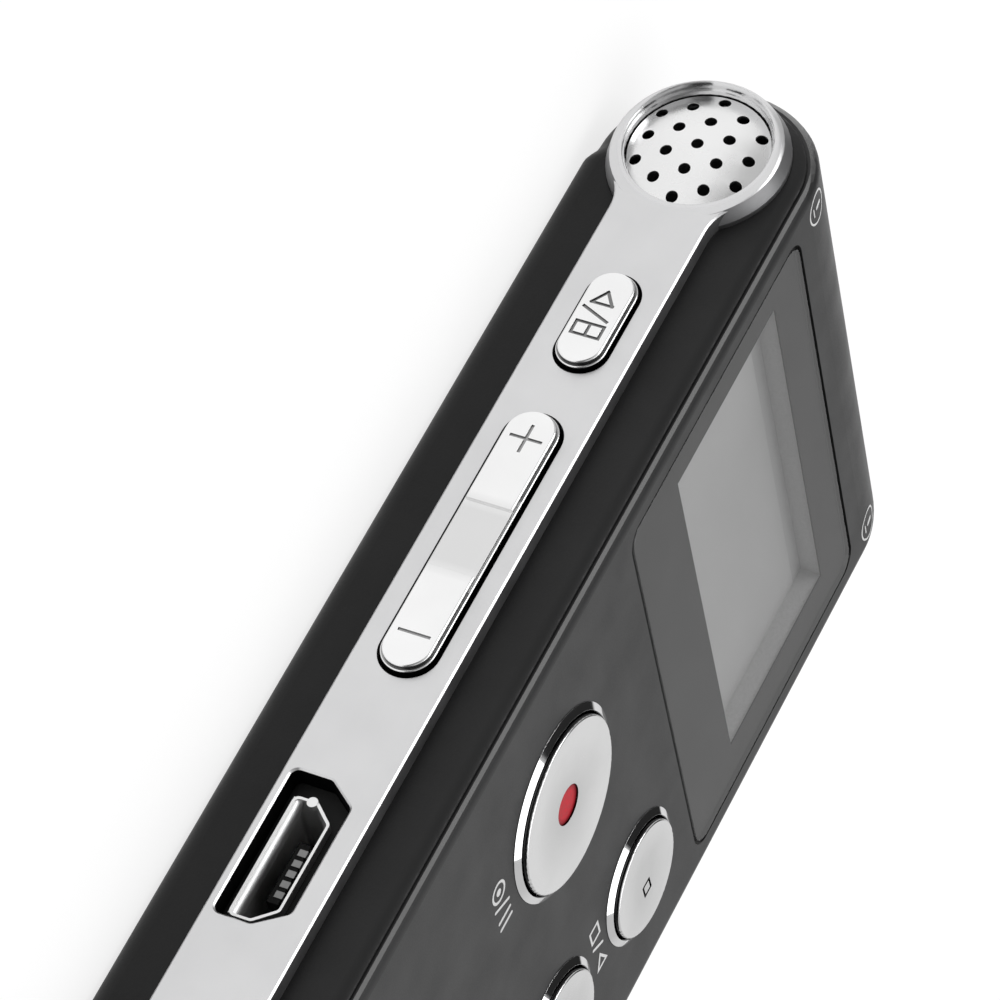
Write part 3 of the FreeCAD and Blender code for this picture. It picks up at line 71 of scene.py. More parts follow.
class Finish:
    """A Principled material whose patterns are fixed to the object.

    Pattern sizes, bevel radii and relief depths are in millimetres.
    """

    def __init__(self, name, **values):
        self.material = bpy.data.materials.new(name)
        self.material.use_nodes = True
        self.tree = self.material.node_tree
        self.tree.nodes.clear()
        self.shader = self.add("ShaderNodeBsdfPrincipled")
        self.output = self.add("ShaderNodeOutputMaterial")
        self.join(self.shader.outputs[0], self.output.inputs["Surface"])
        for key, value in values.items():
            self.shader.inputs[key.replace("_", " ")].default_value = value
        self.place = self.add("ShaderNodeTexCoord").outputs["Object"]
        self.reliefs = []

    def add(self, kind, **settings):
        node = self.tree.nodes.new(kind)
        for key, value in settings.items():
            setattr(node, key, value)
        return node

    def join(self, source, target):
        self.tree.links.new(source, target)

    def feed(self, value, target):
        """Gives target a number, a colour or the output of another node."""
        if isinstance(value, (int, float)):
            target.default_value = value
        elif isinstance(value, tuple):
            target.default_value = (*value, 1.0)
        else:
            self.join(value, target)

    # patterns
    def scaled(self, size, stretch):
        """Coordinates in which size is one unit, longer along the axes where stretch is above 1."""
        scale = self.add("ShaderNodeMapping")
        scale.inputs["Scale"].default_value = [1 / (size * MM * s) for s in stretch]
        self.join(self.place, scale.inputs["Vector"])
        return scale.outputs[0]

    def noise(self, size, detail=2.0, stretch=(1, 1, 1)):
        """Cloudy pattern whose blobs are about size across."""
        node = self.add("ShaderNodeTexNoise")
        node.inputs["Scale"].default_value = 1.0
        node.inputs["Detail"].default_value = detail
        self.join(self.scaled(size, stretch), node.inputs["Vector"])
        return node.outputs[0]

    def cells(self, size, feature="F1", stretch=(1, 1, 1)):
        """Pattern of packed cells about size across."""
        node = self.add("ShaderNodeTexVoronoi", feature=feature)
        node.inputs["Scale"].default_value = 1.0
        self.join(self.scaled(size, stretch), node.inputs["Vector"])
        return node.outputs[0]

    def mottle(self, size, dark, light, detail=3.0):
        """Two shades in soft clouds about size across."""
        return self.blend(self.span(self.noise(size, detail), 0.35, 0.65), dark, light)

    def smears(self, low, high, size=2.2):
        """Roughness in smears about size across."""
        return self.span(self.noise(size, 4.0), 0.35, 0.7, low, high)

    def patches(self, rough, grain, spread=0.05):
        """Roughness in broad patches, broken up by a fine grain."""
        broad = self.span(self.noise(3.0, 4.0), 0.3, 0.7, rough - spread, rough + spread)
        return self.sum(broad, self.span(grain, 0.3, 0.7, -0.03, 0.03))

    # arithmetic
    def span(self, source, low, high, start=0.0, end=1.0):
        """source from low..high to start..end, held at both ends."""
        node = self.add("ShaderNodeMapRange", clamp=True)
        for index, value in enumerate((low, high, start, end)):
            node.inputs[index + 1].default_value = value
        self.join(source, node.inputs[0])
        return node.outputs[0]

    def compute(self, operation, a, b=0.0):
        node = self.add("ShaderNodeMath", operation=operation)
        self.feed(a, node.inputs[0])
        self.feed(b, node.inputs[1])
        return node.outputs[0]

    def sum(self, a, b):
        return self.compute("ADD", a, b)

    def product(self, a, b):
        return self.compute("MULTIPLY", a, b)

    def opposite(self, a):
        return self.compute("SUBTRACT", 1.0, a)

    def blend(self, factor, first, second):
        node = self.add("ShaderNodeMix", data_type="RGBA")
        self.join(factor, node.inputs[0])
        self.feed(first, node.inputs[6])
        self.feed(second, node.inputs[7])
        return node.outputs[2]

    # places and directions
    def axis(self, name):
        """One object coordinate, in metres."""
        split = self.add("ShaderNodeSeparateXYZ")
        self.join(self.place, split.inputs[0])
        return split.outputs[name]

    def distance(self, centre, along=(1, 1, 1), place=None):
        """Distance from centre in metres, counting only the axes where along is 1."""
        shift = self.add("ShaderNodeVectorMath", operation="SUBTRACT")
        shift.inputs[1].default_value = centre
        self.join(place or self.place, shift.inputs[0])
        flat = self.add("ShaderNodeVectorMath", operation="MULTIPLY")
        flat.inputs[1].default_value = along
        self.join(shift.outputs[0], flat.inputs[0])
        length = self.add("ShaderNodeVectorMath", operation="LENGTH")
        self.join(flat.outputs[0], length.inputs[0])
        return length.outputs["Value"]

    def facing(self, name):
        """How far the real face turns to either end of an axis, from 0 to 1."""
        split = self.add("ShaderNodeSeparateXYZ")
        self.join(self.add("ShaderNodeNewGeometry").outputs["True Normal"], split.inputs[0])
        return self.compute("ABSOLUTE", split.outputs[name])

    def upright(self):
        """1 on faces that stand upright, 0 on faces that look to the front."""
        return self.span(self.facing("Z"), 0.25, 0.5, 1, 0)

    def side_wall(self):
        """1 on walls that stand out from the side of the case, 0 on faces that look sideways."""
        return self.span(self.facing("X"), 0.15, 0.35, 1, 0)

    def sunk(self, face_x):
        """1 on flat faces of a left side key that lie below its outer face."""
        below = self.span(self.axis("X"), face_x + 0.03 * MM, face_x + 0.05 * MM)
        return self.product(below, self.span(self.facing("X"), 0.9, 0.97))

    def rounded(self, radius):
        """Normal with sharp edges rounded by radius: millimetres, or an output in metres."""
        bevel = self.add("ShaderNodeBevel", samples=6)
        self.feed(radius * MM if isinstance(radius, float) else radius, bevel.inputs["Radius"])
        return bevel.outputs[0]

    def edges(self, radius):
        """1 along sharp outer edges, 0 on flat faces."""
        normal = self.add("ShaderNodeNewGeometry").outputs["Normal"]
        cosine = self.add("ShaderNodeVectorMath", operation="DOT_PRODUCT")
        self.join(self.rounded(radius), cosine.inputs[0])
        self.join(normal, cosine.inputs[1])
        return self.span(cosine.outputs["Value"], 0.995, 0.80)

    # results
    def colour(self, source):
        self.join(source, self.shader.inputs["Base Color"])

    def roughness(self, source):
        self.join(source, self.shader.inputs["Roughness"])

    def relief(self, source, depth, strength=1.0):
        self.reliefs.append((source, depth, strength))

    def done(self, round_by=None):
        """Joins the rounded edges and the reliefs, and returns the material."""
        normal = self.rounded(round_by) if round_by else None
        for source, depth, strength in self.reliefs:
            bump = self.add("ShaderNodeBump")
            bump.inputs["Strength"].default_value = strength
            bump.inputs["Distance"].default_value = depth * MM
            self.join(source, bump.inputs["Height"])
            if normal:
                self.join(normal, bump.inputs["Normal"])
            normal = bump.outputs[0]
        if normal:
            self.join(normal, self.shader.inputs["Normal"])
        return self.material


def moulded(name, dark, light, rough, grain_size, depth, level=0.5):
    """Moulded or printed surface: fine grain and faint clouding."""
    f = Finish(name, Specular_IOR_Level=level)
    grain = f.noise(grain_size)
    f.colour(f.mottle(9.0, dark, light))
    f.roughness(f.patches(rough, grain))
    f.relief(grain, depth, 0.6)
    return f.done(0.05)


def metal(name, dark, light, rough, spread=0.05, grain_size=0.15, depth=0.004):
    """Bare or plated metal: smeared gloss and a fine grain."""
    f = Finish(name, Metallic=1.0)
    grain = f.noise(grain_size)
    f.colour(f.mottle(6.0, dark, light))
    fine = f.span(grain, 0.3, 0.7, -spread / 3, spread / 3)
    f.roughness(f.sum(f.smears(rough - spread, rough + spread), fine))
    f.relief(grain, depth, 0.5)
    return f.done(0.03)


def case_finish(name):
    """Black moulded shell, painted a shade lighter towards the front as painted light, and lighter
    along worn edges.
    """
    f = Finish(name, Specular_IOR_Level=0.24)
    grain = f.noise(0.16)
    low = f.mottle(9.0, (0.0058, 0.0058, 0.0060), (0.0074, 0.0074, 0.0076))
    high = f.mottle(9.0, (0.0135, 0.0135, 0.0138), (0.0165, 0.0165, 0.0168))
    # painted light: the side's colour turns lighter from 8 mm up to the front edge
    tone = f.blend(f.span(f.axis("Z"), 8.0 * MM, 12.6 * MM), low, high)
    worn = f.product(f.edges(0.16), f.span(f.noise(0.7, 4.0), 0.45, 0.68))
    f.colour(f.blend(worn, tone, (0.034, 0.034, 0.035)))
    f.roughness(f.sum(f.patches(0.46, grain), f.product(worn, -0.12)))
    f.relief(grain, 0.010, 0.6)
    return f.done(0.08)


def panel_finish(name):
    """Painted front with a glossier cut edge along both sides, whose lighter colour is a painted
    highlight.
    """
    f = Finish(name, Specular_IOR_Level=0.32)
    grain = f.noise(0.10)
    slanted = f.span(f.facing("X"), 0.45, 0.62)
    # the lighter colour on these chamfer faces is a painted highlight
    cut = f.product(slanted, f.span(f.facing("X"), 0.80, 0.95, 1, 0))
    paint_tone = f.mottle(9.0, (0.0205, 0.0205, 0.021), (0.0235, 0.0235, 0.024))
    f.colour(f.blend(cut, paint_tone, gray(0.105)))
    f.roughness(f.sum(f.patches(0.42, grain, 0.04), f.product(cut, -0.12)))
    f.relief(grain, 0.006, 0.6)
    return f.done(0.03)


def rail_metal(name):
    """Satin anodised strip that turns into a polished ring round the microphone.

    The walls of the socket's opening are painted near black, and the rail's walls darker than its
    face: painted shade.
    """
    f = Finish(name, Metallic=1.0)
    # painted shade: near black on the walls of the socket's opening
    opening = f.span(f.axis("X"), RAIL_FACE_X + 0.10 * MM, RAIL_FACE_X + 0.13 * MM)
    for axis, low, high in (
        ("X", RAIL_FACE_X - MM, RAIL_FACE_X + 2.6 * MM),
        ("Y", usb_lo.y - 0.8 * MM, usb_hi.y + 1.2 * MM),
        ("Z", usb_lo.z - 0.8 * MM, usb_hi.z + 1.1 * MM),
    ):
        place = f.axis(axis)
        opening = f.product(opening, f.span(place, low, low + 0.01 * MM))
        opening = f.product(opening, f.span(place, high, high + 0.01 * MM, 1, 0))
    mic = (mic_lo + mic_hi) / 2
    away = f.distance((0, mic.y, mic.z), (0, 1, 1))
    satin = f.span(away, RING_POLISH_R - 0.04 * MM, RING_POLISH_R + 0.04 * MM)
    # painted shade: walls that don't face sideways are coloured darker than the face
    wall = f.product(f.span(f.facing("X"), 0.42, 0.50, 1, 0), satin)
    face = f.mottle(6.0, (0.655, 0.655, 0.66), (0.69, 0.69, 0.695))
    f.colour(f.blend(opening, f.blend(wall, face, (0.27, 0.27, 0.275)), gray(0.015)))

    grain = f.noise(0.10)
    brushed = f.noise(0.12, stretch=(1, 30, 1))
    fine = f.sum(f.span(grain, 0.3, 0.7, -0.012, 0.012), f.span(brushed, 0.3, 0.7, -0.02, 0.02))
    uneven = f.product(f.sum(f.smears(-0.03, 0.04), fine), satin)
    gloss = f.sum(f.span(satin, 0, 1, 0.10, 0.33), uneven)
    f.roughness(f.sum(gloss, f.product(wall, 0.14)))
    f.relief(f.product(grain, satin), 0.003, 0.4)
    f.relief(f.product(brushed, satin), 0.002, 0.4)

    upper = f.span(f.axis("Y"), mic.y - 1.5 * MM, mic.y + 1.5 * MM)
    lip = f.product(f.span(away, RING_RIM_R - 0.1 * MM, RING_RIM_R + 0.1 * MM, 1, 0), upper)
    return f.done(f.span(lip, 0, 1, 0.03 * MM, 0.22 * MM))


def grille_metal(name):
    """Silver skin of the domed grilles. In the holes and behind the skin it is painted almost
    black: painted shade.
    """
    f = Finish(name)
    reach = (mic_hi.y - mic_lo.y) / 2
    dome_r = (reach ** 2 + GRILLE_RISE ** 2) / (2 * GRILLE_RISE)
    dome_centre = (-mic_lo.x - dome_r, (mic_lo.y + mic_hi.y) / 2, (mic_lo.z + mic_hi.z) / 2)
    mirrored = f.add("ShaderNodeVectorMath", operation="ABSOLUTE")
    f.join(f.place, mirrored.inputs[0])
    away = f.distance(dome_centre, place=mirrored.outputs[0])
    # painted shade: almost black in the holes and behind the skin
    skin = f.span(away, dome_r - 0.055 * MM, dome_r - 0.035 * MM)
    f.colour(f.blend(skin, gray(0.004), f.mottle(6.0, gray(0.80), gray(0.84))))
    f.join(skin, f.shader.inputs["Metallic"])
    f.roughness(f.sum(f.span(skin, 0, 1, 0.8, 0.27), f.smears(-0.02, 0.02)))
    f.relief(f.noise(0.3), 0.0004, 0.3)
    return f.done(0.03)


def plated(name):
    """Chromed bezel. Its inner wall, in the gap beside the key, and its other upright walls are
    painted almost black: painted shade.
    """
    f = Finish(name, Metallic=1.0)
    bright = f.mottle(6.0, (0.86, 0.86, 0.865), (0.92, 0.92, 0.925))
    # painted shade on the upright walls
    f.colour(f.blend(f.upright(), bright, gray(0.02)))
    f.roughness(f.smears(0.04, 0.08))
    f.relief(f.noise(0.30), 0.001, 0.5)
    return f.done(0.02)


POLISH = gray(0.86), gray(0.91)    # dark and light shade of polished metal
# painted shade on the upright walls of the side keys
KEY_WALL_SHADE = gray(0.09)


def polished(name):
    """Polished side key, still without its colour."""
    f = Finish(name, Metallic=1.0)
    f.roughness(f.smears(0.16, 0.24))
    f.relief(f.noise(0.12), 0.002, 0.5)
    return f


def ab_metal(name):
    """Polished key whose signs have floors painted darker and whose side walls are painted dark:
    painted shade.
    """
    face_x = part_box("ab_key")[0].x
    f = polished(name)
    top = f.blend(f.sunk(face_x), f.mottle(6.0, *POLISH), gray(0.20))
    f.colour(f.blend(f.side_wall(), top, KEY_WALL_SHADE))
    return f.done(0.03)


def rocker_metal(name):
    """Polished rocker. Its lower middle part is painted a shade darker, and its signs' floors and
    outer walls dark: painted shade.
    """
    lo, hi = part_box("volume_rocker")
    f = polished(name)
    along = f.compute("ABSOLUTE", f.compute("SUBTRACT", f.axis("Y"), (lo.y + hi.y) / 2))
    # painted shade: the middle part is coloured darker than the ends
    ends = f.span(along, 1.7 * MM, 2.8 * MM)
    tone = f.blend(ends, gray(0.70), f.mottle(6.0, *POLISH))
    sign = f.product(f.sunk(lo.x), f.span(along, 3.0 * MM, 3.1 * MM))
    round_end = f.span(along, 6.0 * MM, 6.5 * MM)
    outer_wall = f.compute("MAXIMUM", f.opposite(f.upright()), round_end)
    wall = f.product(f.side_wall(), outer_wall)
    f.colour(f.blend(wall, f.blend(sign, tone, gray(0.32)), KEY_WALL_SHADE))
    return f.done(0.03)


def spun(name, key):
    """Turned key: fine rings round its upright axis. Painted shade darkens its top towards the
    middle and makes its sides and its sign dark.
    """
    lo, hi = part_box(key)
    f = Finish(name, Metallic=1.0)
    away = f.distance(((lo.x + hi.x) / 2, (lo.y + hi.y) / 2, 0), (1, 1, 0))
    rings = f.add("ShaderNodeTexNoise", noise_dimensions="1D")
    rings.inputs["Scale"].default_value = 1 / (0.05 * MM)
    rings.inputs["Detail"].default_value = 3.0
    f.join(away, rings.inputs["W"])
    clouds = f.span(f.noise(4.0, 3.0), 0.35, 0.65, -0.15, 0.15)
    # painted shade: the top turns darker towards its middle
    outward = f.span(away, 0.8 * MM, 4.2 * MM)
    top = f.blend(f.sum(outward, clouds), gray(0.70), gray(0.88))
    # painted shade: faces sunk below the top, such as the sign, and the sides are near black
    deep = f.span(f.axis("Z"), hi.z - 0.18 * MM, hi.z - 0.16 * MM, 1, 0)
    f.colour(f.blend(f.compute("MAXIMUM", deep, f.upright()), top, gray(0.03)))
    f.roughness(f.sum(f.smears(0.19, 0.26, 1.6), f.span(rings.outputs[0], 0.3, 0.7, -0.02, 0.02)))
    f.relief(rings.outputs[0], 0.0012, 0.35)
    return f.done(0.03)


def pane(name):
    """Clear hard-coated lens: shows what lies below, and mirrors more at a flat angle."""
    f = Finish(name)
    f.tree.nodes.remove(f.shader)
    clear = f.add("ShaderNodeBsdfTransparent")
    clear.inputs["Color"].default_value = (*gray(0.905), 1)
    mirror = f.add("ShaderNodeBsdfGlossy")
    mirror.inputs["Color"].default_value = (1, 1, 1, 1)
    f.join(f.span(f.noise(5.0, 4.0), 0.4, 0.75, 0.035, 0.075), mirror.inputs["Roughness"])
    share = f.add("ShaderNodeFresnel")
    share.inputs["IOR"].default_value = 1.5
    coated = f.product(share.outputs[0], 0.76)
    outside = f.opposite(f.add("ShaderNodeNewGeometry").outputs["Backfacing"])
    both = f.add("ShaderNodeMixShader")
    f.join(f.product(coated, outside), both.inputs[0])
    f.join(clear.outputs[0], both.inputs[1])
    f.join(mirror.outputs[0], both.inputs[2])
    f.join(both.outputs[0], f.output.inputs["Surface"])
    return f.material


def screen_glass(name):
    """Unlit screen: gray film with a faint grid of dots, and a darker strip near its upper end."""
    f = Finish(name, Specular_IOR_Level=0.3)
    pitch = 0.19 * MM
    lines = [f.compute("SINE", f.product(f.axis(a), 2 * math.pi / pitch)) for a in ("X", "Y")]
    grid = f.span(f.compute("MAXIMUM", *lines), 0.75, 1.0, 0, 0.25)
    tone = f.blend(f.span(f.noise(14.0, 1.0), 0.4, 0.6), gray(0.43), gray(0.48))
    film = f.blend(grid, tone, gray(0.38))
    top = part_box("lcd_glass")[1].y
    border = f.span(f.axis("Y"), top - 1.22 * MM, top - 1.18 * MM)
    f.colour(f.blend(border, film, gray(0.37)))
    f.roughness(f.span(f.noise(2.0, 3.0), 0.3, 0.7, 0.32, 0.40))
    f.relief(f.noise(0.1), 0.002, 0.4)
    return f.done()


def red_plastic(name):
    """Pressed-in red lens, darker towards its rim."""
    lo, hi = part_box("rec_dot")
    radius = (hi.x - lo.x) / 2
    f = Finish(name, Specular_IOR_Level=0.22)
    specks = f.noise(0.25, 3.0)
    away = f.distance(((lo.x + hi.x) / 2, (lo.y + hi.y) / 2, hi.z))
    rim = f.span(away, radius * 0.66, radius * 0.98)
    middle = f.blend(f.span(specks, 0.3, 0.7), (0.46, 0.006, 0.016), (0.62, 0.012, 0.030))
    f.colour(f.blend(rim, middle, (0.22, 0.004, 0.010)))
    f.roughness(f.span(specks, 0.3, 0.7, 0.40, 0.52))
    f.relief(specks, 0.006, 0.5)
    return f.done(0.05)


def foam(name):
    """Pale open-celled foam."""
    f = Finish(name, Specular_IOR_Level=0.2)
    pores = f.cells(0.16)
    f.colour(f.blend(f.span(pores, 0.1, 0.6), gray(0.50), gray(0.56)))
    f.roughness(f.span(pores, 0.0, 0.8, 0.95, 0.8))
    f.relief(pores, 0.01, 0.4)
    return f.done()


def circuit_board(name):
    """Green board with a lighter web of copper runs under the lacquer."""
    f = Finish(name, Coat_Weight=0.4)
    runs = f.span(f.cells(1.3, "DISTANCE_TO_EDGE", (1, 1, 40)), 0.05, 0.09, 1, 0)
    f.colour(f.blend(runs, (0.008, 0.055, 0.030), (0.030, 0.130, 0.070)))
    f.roughness(f.span(f.noise(1.0, 3.0), 0.3, 0.7, 0.28, 0.42))
    f.relief(runs, 0.03, 0.4)
    return f.done()


def stage_finish(name):
    """Pale matt paper with a very faint mottle."""
    f = Finish(name, Specular_IOR_Level=0.0, Roughness=0.9, Emission_Strength=0.78)
    f.shader.inputs["Emission Color"].default_value = (1, 1, 1, 1)
    f.colour(f.blend(f.span(f.noise(180.0), 0.3, 0.7), gray(0.27), gray(0.29)))
    return f.material


# name: dark and light shade, roughness, grain size, relief depth, specular level if not 0.5
MOULDED = {
    "ink": (gray(0.012), gray(0.016), 0.6, 0.1, 0.004, 0.2),
    "label_white": (gray(0.70), gray(0.77), 0.55, 0.08, 0.003, 0.3),
    "white_plastic": ((0.62, 0.62, 0.60), (0.70, 0.70, 0.68), 0.5, 0.2, 0.006),
    "black_plastic": ((0.010, 0.010, 0.011), (0.016, 0.016, 0.017), 0.45, 0.2, 0.01),
    "socket_plastic": (gray(0.004), gray(0.006), 0.6, 0.2, 0.01, 0.12),
    "rubber": (gray(0.012), gray(0.018), 0.75, 0.3, 0.02, 0.3),
    "cone": (gray(0.020), gray(0.030), 0.8, 0.25, 0.03, 0.3),
    "chip": ((0.014, 0.014, 0.015), (0.020, 0.020, 0.021), 0.6, 0.12, 0.01),
    "flex": ((0.36, 0.15, 0.04), (0.44, 0.20, 0.06), 0.4, 0.3, 0.004),
    "cell_wrap": ((0.36, 0.37, 0.40), (0.44, 0.45, 0.47), 0.38, 0.4, 0.02),
    "lead": ((0.30, 0.02, 0.02), (0.36, 0.03, 0.03), 0.5, 0.2, 0.006),
}
# name: dark and light shade, roughness, then its spread, grain size and relief depth if not usual
METAL = {
    "key_silver": (*POLISH, 0.20, 0.04, 0.12, 0.002),
    "steel": ((0.60, 0.60, 0.61), (0.70, 0.70, 0.71), 0.24),
    "socket_steel": (gray(0.80), gray(0.90), 0.46),
    "screw": ((0.10, 0.10, 0.105), (0.14, 0.14, 0.145), 0.34, 0.05, 0.12),
    "contact": (gray(0.10), gray(0.34), 0.40, 0.08, 0.12),
    "gold": ((0.72, 0.46, 0.17), (0.84, 0.58, 0.26), 0.26),
}
SPECIAL = {
    "case_black": case_finish,
    "panel_gray": panel_finish,
    "rail_silver": rail_metal,
    "grille_silver": grille_metal,
    "chrome": plated,
    "ab_silver": ab_metal,
    "rocker_silver": rocker_metal,
    "key_red": red_plastic,
    "lens": pane,
    "screen": screen_glass,
    "foam": foam,
    "board": circuit_board,
    "studio_paper": stage_finish,
}
FINISHES = {
    **{name: moulded(name, *values) for name, values in MOULDED.items()},
    **{name: metal(name, *values) for name, values in METAL.items()},
    **{name: make(name) for name, make in SPECIAL.items()},
}


def paint(obj, material):
    obj.data.materials.clear()
    obj.data.materials.append(material)


slot_of = {row["node"]: row["material_slot"] for row in frame["record"]["subparts"]}
for name, obj in cad.items():
    paint(obj, FINISHES[slot_of[name]])
for name, finish in (
    ("usb_contacts", "contact"),
    ("usb_shell", "socket_steel"),
    ("volume_rocker", "rocker_silver"),
    ("ab_key", "ab_silver"),
):
    paint(cad[name], FINISHES[finish])
for name in ("rec_key", "stop_key", "mark_key", "nav_centre_key"):
    paint(cad[name], spun("spun_" + name, name))


# ---------------------------------------------------------------- mesh helpers
def object_from(name, bm):
    """Turns a bmesh in millimetres into an object."""
    bmesh.ops.scale(bm, vec=(MM, MM, MM), verts=bm.verts)
    mesh = bpy.data.meshes.new(name)
    bm.to_mesh(mesh)
    bm.free()
    obj = bpy.data.objects.new(name, mesh)
    scene.collection.objects.link(obj)
    return obj


def piece(name, bm, finish):
    """Turns a bmesh in millimetres into a piece that rides on the case."""
    bmesh.ops.recalc_face_normals(bm, faces=bm.faces)
    obj = object_from(name, bm)
    paint(obj, FINISHES[finish])
    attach(obj, "case")
    return obj


def circle(x, y, radius, count=48):
    angles = [2 * math.pi * i / count for i in range(count)]
    return [(x + radius * math.cos(a), y + radius * math.sin(a)) for a in angles]


def rounded_rect(x0, x1, y0, y1, radius, count=10):
    points = []
    for cx, cy, start in (
        (x1 - radius, y1 - radius, 0),
        (x0 + radius, y1 - radius, 90),
        (x0 + radius, y0 + radius, 180),
        (x1 - radius, y0 + radius, 270),
    ):
        for i in range(count + 1):
            angle = math.radians(start + 90 * i / count)
            points.append((cx + radius * math.cos(angle), cy + radius * math.sin(angle)))
    return points


def skin(bm, first, second):
    """Quads between two loops of the same length."""
    count = len(first)
    for i in range(count):
        bm.faces.new((first[i], first[(i + 1) % count], second[(i + 1) % count], second[i]))


def skin_all(bm, loops):
    """Quads between each loop and the next."""
    for first, second in zip(loops[:-1], loops[1:]):
        skin(bm, first, second)


def grown(outline, amount):
    """Polygon outline moved outwards by amount, for convex outlines given anticlockwise."""
    count = len(outline)
    result = []
    for i in range(count):
        before = Vector(outline[i - 1])
        here = Vector(outline[i])
        after = Vector(outline[(i + 1) % count])
        d1 = (here - before).normalized()
        d2 = (after - here).normalized()
        n1 = Vector((d1.y, -d1.x))
        n2 = Vector((d2.y, -d2.x))
        mitre = (n1 + n2) / (1 + n1.dot(n2))
        result.append(tuple(here + mitre * amount))
    return result


# ---------------------------------------------------------------- printed signs on the front
INK_SUNK, INK_PROUD = 0.004, 0.012    # below and above the front face
INK_W = 0.19         # width of a printed line
OUTLINE_W = 0.17     # width of a printed outline
FACE_Z = lens_hi.z / MM
NOSE_R = FACE_Z / 2  # the front rolls down round the microphone end with this radius
NOSE_Y = panel_hi.y / MM - NOSE_R


def face_z(y):
    """Height of the front face, which rolls down round the microphone end."""
    past = y - NOSE_Y
    if past <= 0:
        return FACE_Z
    return NOSE_R + math.sqrt(max(NOSE_R ** 2 - past ** 2, 0.0))


def ink_loop(bm, points, lift):
    """One vertex for each point, at lift above the front face."""
    return [bm.verts.new((x, y, face_z(y) + lift)) for x, y in points]


def ink_ring(bm, outer, inner):
    """Closed printed band between two outlines with the same number of points."""
    loops = [
        ink_loop(bm, outline, lift)
        for outline, lift in (
            (outer, INK_PROUD), (inner, INK_PROUD), (inner, -INK_SUNK), (outer, -INK_SUNK),
        )
    ]
    skin_all(bm, loops + loops[:1])


def ink_patch(bm, outline):
    """Closed printed patch, filled in."""
    top = ink_loop(bm, outline, INK_PROUD)
    low = ink_loop(bm, outline, -INK_SUNK)
    skin(bm, low, top)
    bm.faces.new(top)
    bm.faces.new(low[::-1])


def ink_stroke(bm, start, end, width=INK_W):
    """Printed line with round ends."""
    sx, sy = start
    ex, ey = end
    angle = math.atan2(ey - sy, ex - sx)
    points = []
    for cx, cy, first in ((ex, ey, angle - math.pi / 2), (sx, sy, angle + math.pi / 2)):
        for i in range(7):
            turn = first + math.pi * i / 6
            points.append((cx + width / 2 * math.cos(turn), cy + width / 2 * math.sin(turn)))
    ink_patch(bm, points)


def mic_sign(bm, x, y):
    """A drop and a bar in a circle."""
    ink_ring(bm, circle(x, y, 1.05), circle(x, y, 0.92))
    ink_stroke(bm, (x, y + 0.42), (x, y - 0.05), 0.26)
    ink_stroke(bm, (x - 0.28, y - 0.48), (x + 0.28, y - 0.48), 0.12)


def record_sign(bm, x, y):
    """Record and pause: a dot in a ring, a slash, two bars."""
    ink_ring(bm, circle(x - 1.25, y, 0.72), circle(x - 1.25, y, 0.54))
    ink_patch(bm, circle(x - 1.25, y, 0.24, 20))
    ink_stroke(bm, (x - 0.28, y - 0.70), (x + 0.22, y + 0.70))
    for offset in (0.85, 1.45):
        ink_stroke(bm, (x + offset, y - 0.62), (x + offset, y + 0.62), 0.21)


def stop_sign(bm, x, y):
    """Stop and back: a square, a slash, a triangle."""
    left, right = x - 1.72, x - 0.96
    square = [(left, y - 0.38), (right, y - 0.38), (right, y + 0.38), (left, y + 0.38)]
    ink_ring(bm, grown(square, OUTLINE_W), square)
    ink_stroke(bm, (x - 0.32, y - 0.50), (x + 0.14, y + 0.50))
    triangle = [(x + 0.92, y), (x + 1.58, y - 0.36), (x + 1.58, y + 0.36)]
    ink_ring(bm, grown(triangle, OUTLINE_W), triangle)


def play_sign(bm, x, y):
    """A triangle and two bars."""
    triangle = [(x - 1.5, y - 0.36), (x - 0.84, y), (x - 1.5, y + 0.36)]
    ink_ring(bm, grown(triangle, OUTLINE_W), triangle)
    ink_stroke(bm, (x - 0.25, y - 0.50), (x - 0.25, y + 0.50))
    ink_stroke(bm, (x + 0.35, y), (x + 1.45, y))


def list_sign(bm, x, y):
    for step in (-0.5, 0.0, 0.5):
        ink_stroke(bm, (x - 0.75, y + step), (x + 0.75, y + step))


def cross_sign(bm, x, y):
    ink_stroke(bm, (x - 0.5, y - 0.5), (x + 0.5, y + 0.5))
    ink_stroke(bm, (x - 0.5, y + 0.5), (x + 0.5, y - 0.5))


def beside(node, right, up):
    """Place on the front, counted from the middle of a node."""
    lo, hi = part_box(node)
    return (lo.x + hi.x) / 2 / MM + right, (lo.y + hi.y) / 2 / MM + up


mic_sign_x, mic_sign_y = panel_hi.x / MM - 1.9, panel_hi.y / MM - 5.55
for name, draw, place in (
    ("left_mic_sign", mic_sign, (-mic_sign_x, mic_sign_y)),
    ("right_mic_sign", mic_sign, (mic_sign_x, mic_sign_y)),
    ("record_sign", record_sign, beside("rec_key", -0.37, -7.02)),
    ("stop_sign", stop_sign, beside("stop_key", -0.37, -5.07)),
    ("play_sign", play_sign, beside("mark_key", -0.37, -5.07)),
    ("list_sign", list_sign, beside("menu_key", 0.0, 3.1)),
    ("cross_sign", cross_sign, beside("erase_key", 0.0, 3.1)),
):
    bm = bmesh.new()
    draw(bm, *place)
    piece(name, bm, "label_white")

